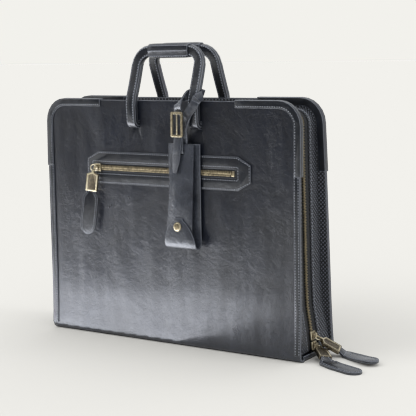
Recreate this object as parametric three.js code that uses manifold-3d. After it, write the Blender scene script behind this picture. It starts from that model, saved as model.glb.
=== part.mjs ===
// A slim leather document case with a zip round its sides and top, two handles, a front pocket and a tag.
// Millimetres. The origin is on the ground under the middle of the case, +X runs along its width to the
// right of someone who faces the pocket, +Y goes to the back and +Z is up.
import * as THREE from 'three';
import { mergeVertices } from 'three/addons/utils/BufferGeometryUtils.js';
import Module from 'manifold-3d';

const wasm = await Module();
wasm.setup();

// Clearance left between pieces that touch
const gap = 0.3;

// Body
const caseWidth = 420;
const caseHeight = 333;
const baseDepth = 86;
const topDepth = 58.8;
const cornerRadius = 31;
const footRadius = 8;
const panelThickness = 2.4;
const baseThickness = 2.4;
const dentDepth = 2.6;

// Gusset and main zip
const gussetThickness = 1.6;
const channelDepth = 11.5;
const channelDepthAtFoot = 3.4;
const channelFlareHeight = 75;
const channelValley = 3;
const endFlapHeight = 7;
const tapeHalfWidth = 13.4;
const tapeSeam = 4;
const tapeThickness = 1;
const teethWidth = 7.7;
const teethThickness = 2.6;

// Bindings
const bindingWidth = 8.6;
const bindingThickness = 1.3;
const bindingStart = 113;
const bindingDrop = 94;
const sideBindingWidth = 9.2;
const sideBindingThickness = 1;
const sideBindingFootGap = 9;

// Handles
const legWidth = 15;
const strapThickness = 9.4;
const legSpread = 104;
const slitDrop = 37.4;
const handleRise = 66;
const handleCornerRadius = 19;
const handleLean = 22.5;
const handleStubLength = 7;
const gripLength = 66;
const gripWidth = 19.5;
const gripThickness = 14;

// Front pocket
const facingWidth = 274;
const facingTopWidth = 234;
const facingHeight = 44.5;
const facingCentreHeight = 239.3;
const facingThickness = 1.6;
const facingChamferDrop = 10.7;
const pocketMouthWidth = 236;
const pocketMouthHeight = 11;
const pocketMouthShift = -4.5;
const pocketTeethWidth = 7;
const pocketTeethThickness = 2;
const pocketStopLength = 3;

// Sliders, links and pulls
const sliderLength = 11;
const sliderWidth = 11.4;
const sliderWall = 1.3;
const bridgeHeight = 5;
const bridgeWidth = 3.4;
const bridgeSpan = 8;
const linkWire = 1.8;
const linkDiameter = 10.6;
const pullWidth = 17;
const pullLength = 27;
const pullThickness = 5.4;
const pullBevel = 0.8;
const lugWidth = 3;
const lugLength = 4.4;
const shoulderDrop = 3;
const tabWidth = 22.5;
const tabThickness = 3.2;
const tabNeckWidth = 11.5;
const tabNeckDepth = 6;
const tabShoulder = 9;
const tabTip = 15;
const pocketTabLength = 68;
const mainTabLength = 76;
const upperSliderHeight = 27;
const lowerSliderHeight = 13.8;

// Tag
const tagCentre = 35.5;
const tagWidth = 50;
const tagHeight = 139;
const tagTopDrop = 56.5;
const tagLeather = 1.6;
const frontLeafWidth = 43;
const frontLeafTopGap = 2.6;
const frontLeafFootGap = 10;
const frontLeafLength = 124;
const leafFoldWidth = 8.5;
const flapHeight = 41;
const flapTaper = 1.6;
const flapRoundness = 0.6;
const snapRadius = 6.2;
const snapThickness = 2.6;
const snapShift = -3.5;
const snapHeight = 30;
const tagStrapWidth = 12.8;
const tagStrapThickness = 1.6;
const tagSlotDrop = 12;
const tagSlotHeight = 4.6;
const buckleWidth = 19;
const buckleHeight = 33;
const buckleBar = 2.8;
const buckleThickness = 2.6;
const buckleShift = -4;
const buckleDrop = 30;
const freeEndLength = 48;
const prongWidth = 2.2;
const wrapSlack = 1.1;

// Outline tables, each length a share of the named size that its comment gives

// Half the body's depth: height as a share of caseHeight, flare as a share of what the base adds to the top
const flareTable = [
  { height: 0, flare: 1 },
  { height: 0.08, flare: 0.81 },
  { height: 0.2, flare: 0.654 },
  { height: 0.5, flare: 0.463 },
  { height: 0.75, flare: 0.265 },
  { height: 0.9, flare: 0.08 },
  { height: 1, flare: 0 },
];

// Dents and swells: across and wide are shares of half caseWidth, up and tall of caseHeight, and deep is a
// share of dentDepth, less than 0 where the leather swells out
const frontDents = [
  { across: -0.25, up: 0.845, wide: 0.06, tall: 0.03, deep: 0.45 },
  { across: 0.25, up: 0.845, wide: 0.06, tall: 0.03, deep: 0.45 },
  { across: 0.02, up: 0.9, wide: 0.2, tall: 0.06, deep: 0.6 },
  { across: -0.62, up: 0.5, wide: 0.22, tall: 0.2, deep: 0.7 },
  { across: 0.45, up: 0.36, wide: 0.3, tall: 0.22, deep: -0.8 },
  { across: -0.3, up: 0.22, wide: 0.35, tall: 0.12, deep: -0.6 },
  { across: 0.7, up: 0.6, wide: 0.14, tall: 0.16, deep: 0.5 },
];
const backDents = [
  { across: 0, up: 0.62, wide: 0.5, tall: 0.2, deep: 0.8 },
  { across: -0.4, up: 0.3, wide: 0.3, tall: 0.16, deep: -0.7 },
  { across: 0.45, up: 0.3, wide: 0.25, tall: 0.18, deep: -0.5 },
];

// Where the panels' rows lie between the foot's curve and the round corners, as shares of that height
const panelRows = [0.03, 0.065, 0.12, 0.2, 0.3, 0.4, 0.5, 0.6, 0.7, 0.8, 0.9];
const cornerSteps = 6;
const footSteps = 3;

// How each pull hangs from its slider, in degrees: swing turns its link out from the bridge, heading turns
// the pull round the link, and tabHeading is where the tab points on the ground, from +X towards the back
const pullTable = {
  pocket: { swing: 20, heading: 81.5 },
  upper: { swing: 33, heading: 22, tabHeading: -28 },
  lower: { swing: 15, heading: -44, tabHeading: -19 },
};

// How high the middle of a tab lies above the ground: rise in tab thicknesses at shares of its length
const tabRises = {
  upper: [
    { share: 0.16, rise: 0.8 },
    { share: 0.28, rise: 0.62 },
    { share: 0.5, rise: 0.7 },
    { share: 0.72, rise: 1.45 },
    { share: 0.86, rise: 1.75 },
    { share: 1, rise: 1.7 },
  ],
  lower: [{ share: 0.16, rise: 0.8 }, { share: 0.3, rise: 0.6 }, { share: 1, rise: 0.55 }],
};

// Materials
function finish(color, roughness, metalness) {
  return new THREE.MeshStandardMaterial({ color, roughness, metalness });
}
const leather = finish(0x34363d, 0.38, 0);
const trimLeather = finish(0x2a2c32, 0.42, 0);
const tagLeatherFinish = finish(0x3d4047, 0.4, 0);
const tapeCloth = finish(0x16171a, 0.85, 0);
const brass = finish(0xa8936a, 0.35, 1);

const caseGroup = new THREE.Group();
caseGroup.name = 'document_case';

function addPiece(name, geometry, material) {
  const mesh = new THREE.Mesh(geometry, material.clone());
  mesh.name = name;
  caseGroup.add(mesh);
}

// Geometry helpers

// Merges shared corners and turns the faces outwards.
function closed(source) {
  let geometry = source.clone();
  geometry.deleteAttribute('normal');
  geometry.deleteAttribute('uv');
  geometry = mergeVertices(geometry, 1e-4);
  const place = geometry.getAttribute('position');
  const index = geometry.getIndex();
  const [a, b, c] = [new THREE.Vector3(), new THREE.Vector3(), new THREE.Vector3()];
  let volume = 0;
  const kept = [];
  for (let i = 0; i < index.count; i += 3) {
    const corners = [index.getX(i), index.getX(i + 1), index.getX(i + 2)];
    if (new Set(corners).size < 3) {
      continue;
    }
    kept.push(...corners);
    a.fromBufferAttribute(place, corners[0]);
    b.fromBufferAttribute(place, corners[1]);
    c.fromBufferAttribute(place, corners[2]);
    volume += a.dot(b.cross(c));
  }
  if (volume < 0) {
    for (let i = 0; i < kept.length; i += 3) {
      [kept[i], kept[i + 1]] = [kept[i + 1], kept[i]];
    }
  }
  geometry.setIndex(kept);
  geometry.computeVertexNormals();
  return geometry;
}

function warp(geometry, place) {
  const position = geometry.getAttribute('position');
  const point = new THREE.Vector3();
  for (let i = 0; i < position.count; i += 1) {
    point.fromBufferAttribute(position, i);
    const moved = place(point);
    position.setXYZ(i, moved.x, moved.y, moved.z);
  }
  return closed(geometry);
}

// A wall whose two faces are given point by point: layer 0 is one face and layer 1 the other. Both faces
// are split along the same diagonals, so that a twisted wall keeps its thickness.
function wall(columns, rows, pointAt) {
  const block = new THREE.BoxGeometry(1, 1, 1, columns, rows, 1);
  const { start, count } = block.groups[block.groups.length - 1];
  const corners = block.index.array;
  for (let i = start; i < start + count; i += 6) {
    const [first, second, fourth, , third] = corners.slice(i, i + 6);
    corners.set([first, second, third, first, third, fourth], i);
  }
  return warp(block, (p) => pointAt(
    Math.round((p.x + 0.5) * columns),
    Math.round((p.y + 0.5) * rows),
    p.z > 0 ? 1 : 0,
  ));
}

// A solid bar along a route: pointAt gives the rim's corner, or the middle of the end where rim is false.
function bar(sides, steps, pointAt) {
  const rod = new THREE.CylinderGeometry(1, 1, 1, sides, steps);
  return warp(rod, (p) => {
    const turn = Math.atan2(p.x, p.z) / (2 * Math.PI);
    const side = (Math.round(turn * sides) + sides) % sides;
    return pointAt(side, Math.round((p.y + 0.5) * steps), Math.hypot(p.x, p.z) > 0.5);
  });
}

// An open sleeve along a route: layer 0 is its inside and layer 1 its outside.
function sleeve(sides, steps, pointAt) {
  const profile = [];
  for (let step = 0; step <= steps; step += 1) {
    profile.push(new THREE.Vector2(2, step));
  }
  for (let step = steps; step >= 0; step -= 1) {
    profile.push(new THREE.Vector2(1, step));
  }
  profile.push(profile[0].clone());
  return warp(new THREE.LatheGeometry(profile, sides), (p) => {
    const turn = Math.atan2(p.x, p.z) / (2 * Math.PI);
    const side = (Math.round(turn * sides) + sides) % sides;
    return pointAt(side, Math.round(p.y), Math.hypot(p.x, p.z) > 1.5 ? 1 : 0);
  });
}

function toSolid(geometry) {
  const merged = closed(geometry);
  return new wasm.Manifold(new wasm.Mesh({
    numProp: 3,
    vertProperties: Float32Array.from(merged.getAttribute('position').array),
    triVerts: Uint32Array.from(merged.getIndex().array),
  }));
}

function fromSolid(solid) {
  const mesh = solid.getMesh();
  const geometry = new THREE.BufferGeometry();
  const places = new Float32Array((mesh.vertProperties.length / mesh.numProp) * 3);
  for (let i = 0; i < places.length / 3; i += 1) {
    places.set(mesh.vertProperties.subarray(i * mesh.numProp, i * mesh.numProp + 3), i * 3);
  }
  geometry.setAttribute('position', new THREE.BufferAttribute(places, 3));
  geometry.setIndex(new THREE.BufferAttribute(Uint32Array.from(mesh.triVerts), 1));
  return closed(geometry);
}

function cut(geometry, tools) {
  return fromSolid(tools.reduce((rest, tool) => rest.subtract(toSolid(tool)), toSolid(geometry)));
}

function join(parts) {
  return fromSolid(parts.map(toSolid).reduce((whole, part) => whole.add(part)));
}

function boxBetween(low, high) {
  const size = new THREE.Vector3().subVectors(high, low);
  const box = new THREE.BoxGeometry(size.x, size.y, size.z);
  box.translate((low.x + high.x) / 2, (low.y + high.y) / 2, (low.z + high.z) / 2);
  return box;
}

function extrude(shape, depth, curveSegments = 4) {
  return new THREE.ExtrudeGeometry(shape, { depth, bevelEnabled: false, curveSegments });
}

// Reads a column of a table between its rows.
function lookUp(table, key, column, at) {
  const last = table[table.length - 1];
  if (at >= last[key]) {
    return last[column];
  }
  const above = Math.max(1, table.findIndex((row) => row[key] > at));
  const low = table[above - 1];
  const high = table[above];
  const share = (at - low[key]) / (high[key] - low[key]);
  return low[column] + share * (high[column] - low[column]);
}

function smooth(share) {
  const t = Math.min(1, Math.max(0, share));
  return t * t * (3 - 2 * t);
}

// Moves an open line sideways by a distance, to the left of its run, with mitred corners.
function besideLine(line, distance) {
  const sides = line.slice(1).map((point, i) => {
    const run = new THREE.Vector2().subVectors(point, line[i]).normalize();
    return new THREE.Vector2(-run.y, run.x);
  });
  return line.map((point, i) => {
    const before = sides[Math.max(0, i - 1)];
    const after = sides[Math.min(sides.length - 1, i)];
    const middle = new THREE.Vector2().addVectors(before, after).normalize();
    return point.clone().addScaledVector(middle, distance / middle.dot(after));
  });
}

// Body

const halfWidth = caseWidth / 2;

function halfDepth(height) {
  const flare = lookUp(flareTable, 'height', 'flare', height / caseHeight);
  return topDepth / 2 + ((baseDepth - topDepth) / 2) * flare;
}

// How far a point of a panel lies inside the panel's outline
function fromEdge(x, z) {
  const sideways = halfWidth - Math.abs(x);
  const below = caseHeight - z;
  if (sideways < cornerRadius && below < cornerRadius) {
    return cornerRadius - Math.hypot(cornerRadius - sideways, cornerRadius - below);
  }
  return Math.min(sideways, below);
}

// The panels lie flat where the bindings and the gusset's flanges are sewn on, and at the foot
const flatEdge = Math.max(channelDepth + gussetThickness, bindingWidth, sideBindingWidth);

function dent(dents, x, z) {
  const calm = smooth((Math.min(fromEdge(x, z), z) - flatEdge) / flatEdge);
  let depth = 0;
  for (const row of dents) {
    const sideways = (x / halfWidth - row.across) / row.wide;
    const up = (z / caseHeight - row.up) / row.tall;
    depth += row.deep * dentDepth * Math.exp(-(sideways * sideways + up * up));
  }
  return depth * calm;
}

// A point on the front or back face of the case, raised by lift
function facePoint(side, x, z, lift) {
  const dents = side < 0 ? frontDents : backDents;
  return new THREE.Vector3(x, side * (halfDepth(z) - dent(dents, x, z) + lift), z);
}

// Half the panel's width at a height, inside the round top corners
function halfWidthAt(z) {
  const up = z - (caseHeight - cornerRadius);
  if (up <= 0) {
    return halfWidth;
  }
  return halfWidth - cornerRadius + Math.sqrt(Math.max(0, cornerRadius * cornerRadius - up * up));
}

const footCentre = halfDepth(footRadius) - footRadius;
const footLip = footCentre - 1;
const straightSide = caseHeight - cornerRadius;
const rowHeights = panelRows.map((share) => footRadius + share * (straightSide - footRadius));

// The panel's section from its lip under the case up to the top edge, as distance from the middle and height
function panelSection() {
  const line = [new THREE.Vector2(footLip, 0)];
  for (let step = 0; step <= footSteps; step += 1) {
    const angle = (step / footSteps - 1) * (Math.PI / 2);
    line.push(new THREE.Vector2(
      footCentre + footRadius * Math.cos(angle),
      footRadius + footRadius * Math.sin(angle),
    ));
  }
  for (const height of rowHeights) {
    line.push(new THREE.Vector2(halfDepth(height), height));
  }
  for (let step = 0; step <= cornerSteps; step += 1) {
    const angle = (step / cornerSteps) * (Math.PI / 2);
    const height = straightSide + cornerRadius * Math.sin(angle);
    line.push(new THREE.Vector2(halfDepth(height), height));
  }
  return line;
}

function panel(side, columns) {
  const outside = panelSection();
  const inside = besideLine(outside, panelThickness);
  inside[0].x = outside[0].x;
  inside[inside.length - 1].y = caseHeight;
  const dents = side < 0 ? frontDents : backDents;
  return wall(columns, outside.length - 1, (column, row, layer) => {
    const point = layer ? outside[row] : inside[row];
    const x = (2 * column / columns - 1) * halfWidthAt(outside[row].y);
    return new THREE.Vector3(x, side * (point.x - dent(dents, x, point.y)), point.y);
  });
}

// The slits that the handles' legs go in through
const legCentre = legSpread / 2;
const slitHeight = caseHeight - slitDrop;
const slitCentre = slitHeight + strapThickness / 2 + gap;

function slitTool(side, leg) {
  const half = legWidth / 2 + gap;
  const middle = side * (halfDepth(slitCentre) - panelThickness / 2);
  const reach = panelThickness * 2 + dentDepth;
  return boxBetween(
    new THREE.Vector3(leg * legCentre - half, middle - reach, slitHeight),
    new THREE.Vector3(leg * legCentre + half, middle + reach, slitHeight + strapThickness + 2 * gap),
  );
}

for (const [name, side, columns] of [['front_panel', -1, 20], ['back_panel', 1, 12]]) {
  const slits = [-1, 1].map((leg) => slitTool(side, leg));
  addPiece(name, cut(panel(side, columns), slits), leather);
}

// The channel's depth under the panels' edges gets less towards the foot
function channelAt(z) {
  const share = smooth((z - endFlapHeight) / channelFlareHeight);
  return channelDepthAtFoot + (channelDepth - channelDepthAtFoot) * share;
}

// The base, with its ends turned up inside the channel
function base() {
  const endX = halfWidth - (channelDepthAtFoot - baseThickness) / 2 - gap;
  const bend = baseThickness;
  const line = [
    new THREE.Vector2(-endX, endFlapHeight),
    new THREE.Vector2(-endX, bend),
    new THREE.Vector2(-endX + bend, 0),
    new THREE.Vector2(endX - bend, 0),
    new THREE.Vector2(endX, bend),
    new THREE.Vector2(endX, endFlapHeight),
  ];
  const inner = besideLine(line, baseThickness);
  const halfBase = footLip - gap;
  return wall(2, line.length - 1, (column, row, layer) => {
    const point = layer ? line[row] : inner[row];
    return new THREE.Vector3(point.x, (column - 1) * halfBase, point.y);
  });
}
addPiece('base_panel', base(), leather);

// Edge of the panels, measured along it from the middle of the top: side is 1 to the right, -1 to the left
const edgeTop = halfWidth - cornerRadius;
const edgeCorner = edgeTop + (Math.PI / 2) * cornerRadius;
const edgeEnd = edgeCorner + straightSide;

// The edge's point, and the direction from it into the panel
function edgeAt(side, distance) {
  if (distance <= edgeTop) {
    return { x: side * distance, z: caseHeight, inX: 0, inZ: -1 };
  }
  if (distance <= edgeCorner) {
    const angle = (distance - edgeTop) / cornerRadius;
    return {
      x: side * (edgeTop + cornerRadius * Math.sin(angle)),
      z: straightSide + cornerRadius * Math.cos(angle),
      inX: -side * Math.sin(angle),
      inZ: -Math.cos(angle),
    };
  }
  return { x: side * halfWidth, z: straightSide - (distance - edgeCorner), inX: -side, inZ: 0 };
}

// Distances along the edge from one to another, at the heights of the panels' rows
function edgeStations(from, to, topSteps) {
  const stations = [from];
  for (let step = 1; step < topSteps; step += 1) {
    stations.push(from + (step / topSteps) * (edgeTop - from));
  }
  for (let step = 0; step <= cornerSteps; step += 1) {
    stations.push(edgeTop + (step / cornerSteps) * (edgeCorner - edgeTop));
  }
  for (const height of [...rowHeights].reverse()) {
    stations.push(edgeCorner + straightSide - height);
  }
  stations.push(to);
  return stations.filter((distance) => distance >= from && distance <= to);
}

// Places a section drawn as (in from the edge, depth from the middle of the case) at the edge
function atEdge(edge, inwards, depth) {
  return new THREE.Vector3(edge.x + edge.inX * inwards, depth, edge.z + edge.inZ * inwards);
}

// Stations of the whole gusset, from the left foot over the top to the right foot
const gussetFoot = edgeEnd - Math.max(endFlapHeight + gap, footRadius);
const rightStations = edgeStations(0, gussetFoot, 3);
const gussetStations = [
  ...rightStations.slice(1).reverse().map((distance) => edgeAt(-1, distance)),
  ...rightStations.map((distance) => edgeAt(1, distance)),
];

// Distance of the panels' inner faces from the middle of the case at an edge station
function innerHalfDepth(edge) {
  return halfDepth(edge.z) - panelThickness - gap;
}

// The channel's floor at a depth from the middle: deepest at the zip
function floorAt(edge, depth) {
  return channelAt(edge.z) + channelValley * (1 - Math.abs(depth) / innerHalfDepth(edge));
}

function gusset(side) {
  return wall(2, gussetStations.length - 1, (column, row, layer) => {
    const edge = gussetStations[row];
    const against = innerHalfDepth(edge);
    const thick = layer ? gussetThickness : 0;
    const floor = channelAt(edge.z);
    const tapeFloor = floorAt(edge, tapeHalfWidth);
    const points = [
      [gap, against - gussetThickness + thick],
      [floor + thick, against - gussetThickness + thick],
      [tapeFloor + thick, tapeHalfWidth],
    ];
    return atEdge(edge, points[column][0], side * points[column][1]);
  });
}

function zipTape(side) {
  return wall(1, gussetStations.length - 1, (column, row, layer) => {
    const edge = gussetStations[row];
    const under = gussetThickness + gap + (layer ? tapeThickness : 0);
    const depth = column ? gap : tapeHalfWidth + tapeSeam;
    return atEdge(edge, floorAt(edge, depth) + under, side * depth);
  });
}

function teethAt(edge, layer) {
  const seat = floorAt(edge, 0) + gussetThickness - channelValley * (teethWidth / 2) / innerHalfDepth(edge);
  return layer ? seat : seat - teethThickness;
}

addPiece('gusset_front', gusset(-1), tapeCloth);
addPiece('gusset_back', gusset(1), tapeCloth);
addPiece('zip_tape_front', zipTape(-1), tapeCloth);
addPiece('zip_tape_back', zipTape(1), tapeCloth);
addPiece('zip_teeth', wall(1, gussetStations.length - 1, (column, row, layer) => {
  const edge = gussetStations[row];
  return atEdge(edge, teethAt(edge, layer), (column - 0.5) * teethWidth);
}), brass);

// Bindings

// The corner binding wraps the panel's edge and the gusset's flange behind it.
function cornerBinding(side, hand) {
  const end = edgeCorner + bindingDrop - cornerRadius;
  const stations = edgeStations(bindingStart, end, 4).map((distance) => edgeAt(hand, distance));
  const wrapped = panelThickness + gap + gussetThickness;
  const inner = [
    [bindingWidth, gap],
    [-gap, gap],
    [-gap, -wrapped - gap],
    [bindingWidth, -wrapped - gap],
  ];
  const outer = [
    [bindingWidth, gap + bindingThickness],
    [-gap - bindingThickness, gap + bindingThickness],
    [-gap - bindingThickness, -wrapped - gap - bindingThickness],
    [bindingWidth, -wrapped - gap - bindingThickness],
  ];
  return wall(3, stations.length - 1, (column, row, layer) => {
    const edge = stations[row];
    const [inwards, lift] = (layer ? outer : inner)[column];
    return atEdge(edge, inwards, side * (halfDepth(edge.z) + lift));
  });
}

function sideBinding(side, hand) {
  const start = edgeCorner + bindingDrop - cornerRadius + gap;
  const stations = edgeStations(start, edgeEnd - sideBindingFootGap, 1);
  return wall(1, stations.length - 1, (column, row, layer) => {
    const edge = edgeAt(hand, stations[row]);
    const inwards = column * sideBindingWidth;
    return facePoint(side, edge.x + edge.inX * inwards, edge.z, gap + layer * sideBindingThickness);
  });
}

for (const [place, side] of [['front', -1], ['back', 1]]) {
  for (const [hand, direction] of [['left', -1], ['right', 1]]) {
    addPiece(`corner_binding_${place}_${hand}`, cornerBinding(side, direction), trimLeather);
    addPiece(`side_binding_${place}_${hand}`, sideBinding(side, direction), trimLeather);
  }
}

// Handles

// The strap's route is drawn in its own leaning sheet: across, up and how far in front of the middle
const handleTop = caseHeight + handleRise;
const legStandOff = gap + strapThickness / 2 + tagStrapThickness + gap;
const handleTopDepth = halfDepth(caseHeight) + legStandOff - handleLean;
const leanStart = caseHeight;

function legDepth(height) {
  const foot = halfDepth(slitHeight) + gap + strapThickness / 2;
  const rim = halfDepth(caseHeight) + legStandOff;
  if (height <= leanStart) {
    const share = smooth((height - slitHeight) / (leanStart - slitHeight));
    return foot + (rim - foot) * share;
  }
  const share = (height - leanStart) / (handleTop - leanStart);
  return rim + (handleTopDepth - rim) * (1.25 * share - 0.25 * share * share);
}

// Middle line of half a handle, from the hidden stub up the leg and round to the middle of the grip
function handleRoute() {
  const bend = strapThickness / 2 + gap;
  const turnHeight = slitCentre + bend;
  const outside = legDepth(turnHeight);
  const route = [];
  const across = new THREE.Vector3(1, 0, 0);
  const stubEnd = halfDepth(slitCentre) - panelThickness - handleStubLength;
  route.push({ at: new THREE.Vector3(legCentre, stubEnd, slitCentre), wide: across });
  const bendSteps = 4;
  for (let step = 0; step <= bendSteps; step += 1) {
    const angle = (step / bendSteps) * (Math.PI / 2);
    route.push({
      at: new THREE.Vector3(
        legCentre,
        outside - bend + bend * Math.sin(angle),
        turnHeight - bend * Math.cos(angle),
      ),
      wide: across,
    });
  }
  const cornerStart = handleTop - handleCornerRadius;
  const legSteps = 7;
  for (let step = 1; step <= legSteps; step += 1) {
    const height = turnHeight + (step / legSteps) * (cornerStart - turnHeight);
    route.push({ at: new THREE.Vector3(legCentre, legDepth(height), height), wide: across });
  }
  const turnSteps = 5;
  for (let step = 1; step <= turnSteps; step += 1) {
    const angle = (step / turnSteps) * (Math.PI / 2);
    const height = cornerStart + handleCornerRadius * Math.sin(angle);
    route.push({
      at: new THREE.Vector3(
        legCentre - handleCornerRadius * (1 - Math.cos(angle)),
        legDepth(height),
        height,
      ),
      wide: new THREE.Vector3(Math.cos(angle), 0, Math.sin(angle)),
    });
  }
  route.push({ at: new THREE.Vector3(0, legDepth(handleTop), handleTop), wide: new THREE.Vector3(0, 0, 1) });
  return route;
}

// Eight corners of a flat section with bevelled edges, as shares of its half width and half thickness
const strapSection = [
  [1, 0.45], [0.8, 1], [-0.8, 1], [-1, 0.45], [-1, -0.45], [-0.8, -1], [0.8, -1], [1, -0.45],
];

// The whole handle's stations, with the left half mirrored, each with its middle and two directions
function handleStations() {
  const right = handleRoute();
  const left = right.slice(0, -1).map(({ at, wide }) => ({
    at: new THREE.Vector3(-at.x, at.y, at.z),
    wide: new THREE.Vector3(-wide.x, wide.y, wide.z),
  }));
  const whole = [...left, ...right.reverse()];
  return whole.map(({ at, wide }, i) => {
    const before = whole[Math.max(0, i - 1)].at;
    const after = whole[Math.min(whole.length - 1, i + 1)].at;
    const run = new THREE.Vector3().subVectors(after, before).normalize();
    const out = new THREE.Vector3().crossVectors(run, wide).normalize();
    return { at, wide, out };
  });
}

function handle(side) {
  const stations = handleStations();
  return bar(strapSection.length, stations.length - 1, (corner, step, rim) => {
    const { at, wide, out } = stations[step];
    const [w, t] = rim ? strapSection[corner] : [0, 0];
    const point = at.clone()
      .addScaledVector(wide, (w * legWidth) / 2)
      .addScaledVector(out, (t * strapThickness) / 2);
    point.y *= side;
    return point;
  });
}

// The grip's sleeve has a low rib along the middle of each face, where its edges are sewn together
const gripSection = [
  [1, 0.42], [0.72, 1], [0.1, 1], [0, 1.12], [-0.1, 1], [-0.72, 1],
  [-1, 0.42], [-1, -0.42], [-0.72, -1], [-0.1, -1], [0, -1.12], [0.1, -1], [0.72, -1], [1, -0.42],
];

// How far each corner of the sleeve's inside lies towards the strap's rim, beside its outside corner
const gripFollow = { wide: 1.12, thick: 1.1 };

function grip(side) {
  const lip = [0, 0.12, 0.88, 1];
  const sizes = [0.94, 1, 1, 0.94];
  const height = legDepth(handleTop);
  const follow = (share, more) => Math.sign(share) * Math.min(1, Math.abs(share) * more);
  return sleeve(gripSection.length, lip.length - 1, (corner, step, layer) => {
    const [w, t] = gripSection[corner];
    const along = (lip[step] - 0.5) * gripLength;
    const inside = [
      follow(w, gripFollow.wide) * (legWidth / 2 + gap),
      follow(t, gripFollow.thick) * (strapThickness / 2 + gap),
    ];
    const outside = [(w * sizes[step] * gripWidth) / 2, (t * sizes[step] * gripThickness) / 2];
    const [up, out] = layer ? outside : inside;
    return new THREE.Vector3(along, side * (height + out), handleTop + up);
  });
}

for (const [place, side] of [['front', -1], ['back', 1]]) {
  addPiece(`handle_${place}`, handle(side), trimLeather);
  addPiece(`grip_${place}`, grip(side), leather);
}

// Front pocket

const mouthLeft = pocketMouthShift - pocketMouthWidth / 2;
const mouthRight = pocketMouthShift + pocketMouthWidth / 2;

// Half the facing's width at a height over its middle: straight ends with a chamfer above and below
function facingHalfAt(up) {
  const beyond = Math.abs(up) - (facingHeight / 2 - facingChamferDrop);
  const inset = Math.max(0, beyond / facingChamferDrop) * (facingWidth - facingTopWidth);
  return (facingWidth - inset) / 2;
}

function facing() {
  const chamfer = facingHeight / 2 - facingChamferDrop;
  const mouth = pocketMouthHeight / 2;
  const ups = [-facingHeight / 2, -chamfer, -mouth, mouth, chamfer, facingHeight / 2];
  const columns = 20;
  const sheet = wall(columns, ups.length - 1, (column, row, layer) => facePoint(
    -1,
    (2 * column / columns - 1) * facingHalfAt(ups[row]),
    facingCentreHeight + ups[row],
    gap + layer * facingThickness,
  ));
  const reach = halfDepth(facingCentreHeight) + 2 * (facingThickness + dentDepth);
  return cut(sheet, [boxBetween(
    new THREE.Vector3(mouthLeft, -reach, facingCentreHeight - mouth),
    new THREE.Vector3(mouthRight, 0, facingCentreHeight + mouth),
  )]);
}

// A flat strip on the front panel
function frontStrip(left, right, height, base, thickness, columns) {
  return wall(columns, 1, (column, row, layer) => facePoint(
    -1,
    left + (column / columns) * (right - left),
    facingCentreHeight + (row - 0.5) * height,
    base + layer * thickness,
  ));
}

const pocketTeethBase = gap + tapeThickness + gap;
const pocketTeethLeft = mouthLeft + gap;
const pocketTeethRight = mouthRight - pocketStopLength - 2 * gap;
addPiece('pocket_facing', facing(), trimLeather);
addPiece(
  'pocket_tape',
  frontStrip(mouthLeft + gap, mouthRight - gap, pocketMouthHeight - 2 * gap, gap, tapeThickness, 20),
  tapeCloth,
);
addPiece(
  'pocket_teeth',
  frontStrip(pocketTeethLeft, pocketTeethRight, pocketTeethWidth, pocketTeethBase, pocketTeethThickness, 20),
  brass,
);
addPiece(
  'pocket_stop',
  frontStrip(
    pocketTeethRight + gap,
    mouthRight - gap,
    pocketTeethWidth,
    pocketTeethBase,
    pocketTeethThickness + gap,
    1,
  ),
  brass,
);

// Sliders

// A slider in its own frame: it runs along X over teeth that lie under Y = 0, and its bridge stands up in +Y
function slider(width, teethHalfWidth, teethDepth) {
  const half = width / 2;
  const channel = teethHalfWidth + gap;
  const body = new THREE.Shape([
    new THREE.Vector2(-half, -teethDepth),
    new THREE.Vector2(-channel, -teethDepth),
    new THREE.Vector2(-channel, gap),
    new THREE.Vector2(channel, gap),
    new THREE.Vector2(channel, -teethDepth),
    new THREE.Vector2(half, -teethDepth),
    new THREE.Vector2(half, gap + sliderWall * 0.5),
    new THREE.Vector2(half - sliderWall * 0.5, gap + sliderWall),
    new THREE.Vector2(-half + sliderWall * 0.5, gap + sliderWall),
    new THREE.Vector2(-half, gap + sliderWall * 0.5),
  ]);
  const shell = extrude(body, sliderLength);
  shell.translate(0, 0, -sliderLength / 2);
  shell.rotateY(Math.PI / 2);
  const foot = gap + sliderWall / 2;
  const top = gap + sliderWall + bridgeHeight;
  const leg = (bridgeSpan - linkWire - 2 * gap) / 4;
  const arch = new THREE.Shape([
    new THREE.Vector2(-bridgeSpan / 2, foot),
    new THREE.Vector2(-bridgeSpan / 2 + leg, foot),
    new THREE.Vector2(-bridgeSpan / 2 + leg, top - sliderWall),
    new THREE.Vector2(bridgeSpan / 2 - leg, top - sliderWall),
    new THREE.Vector2(bridgeSpan / 2 - leg, foot),
    new THREE.Vector2(bridgeSpan / 2, foot),
    new THREE.Vector2(bridgeSpan / 2, top - sliderWall),
    new THREE.Vector2(bridgeSpan / 2 - sliderWall, top),
    new THREE.Vector2(-bridgeSpan / 2 + sliderWall, top),
    new THREE.Vector2(-bridgeSpan / 2, top - sliderWall),
  ]);
  const bridge = extrude(arch, bridgeWidth);
  bridge.translate(0, 0, -bridgeWidth / 2);
  return join([shell, bridge]);
}

// Where the link passes under the bridge, over the top of the teeth
const eyeHeight = gap + sliderWall + (bridgeHeight - sliderWall) / 2;

// Places a piece made in a frame of its own, given the frame's X and Y directions and its origin
function placed(geometry, origin, alongX, alongY) {
  const alongZ = new THREE.Vector3().crossVectors(alongX, alongY);
  const move = new THREE.Matrix4().makeBasis(alongX, alongY, alongZ).setPosition(origin);
  return geometry.applyMatrix4(move);
}

// Links and pulls. Each hangs along -Z in a frame of its own, is wide along X and has its face towards Y.

const linkRadius = (linkDiameter - linkWire) / 2;

function linkRing() {
  const ring = new THREE.TorusGeometry(linkRadius, linkWire / 2, 6, 16);
  ring.rotateX(Math.PI / 2);
  return closed(ring);
}

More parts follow.
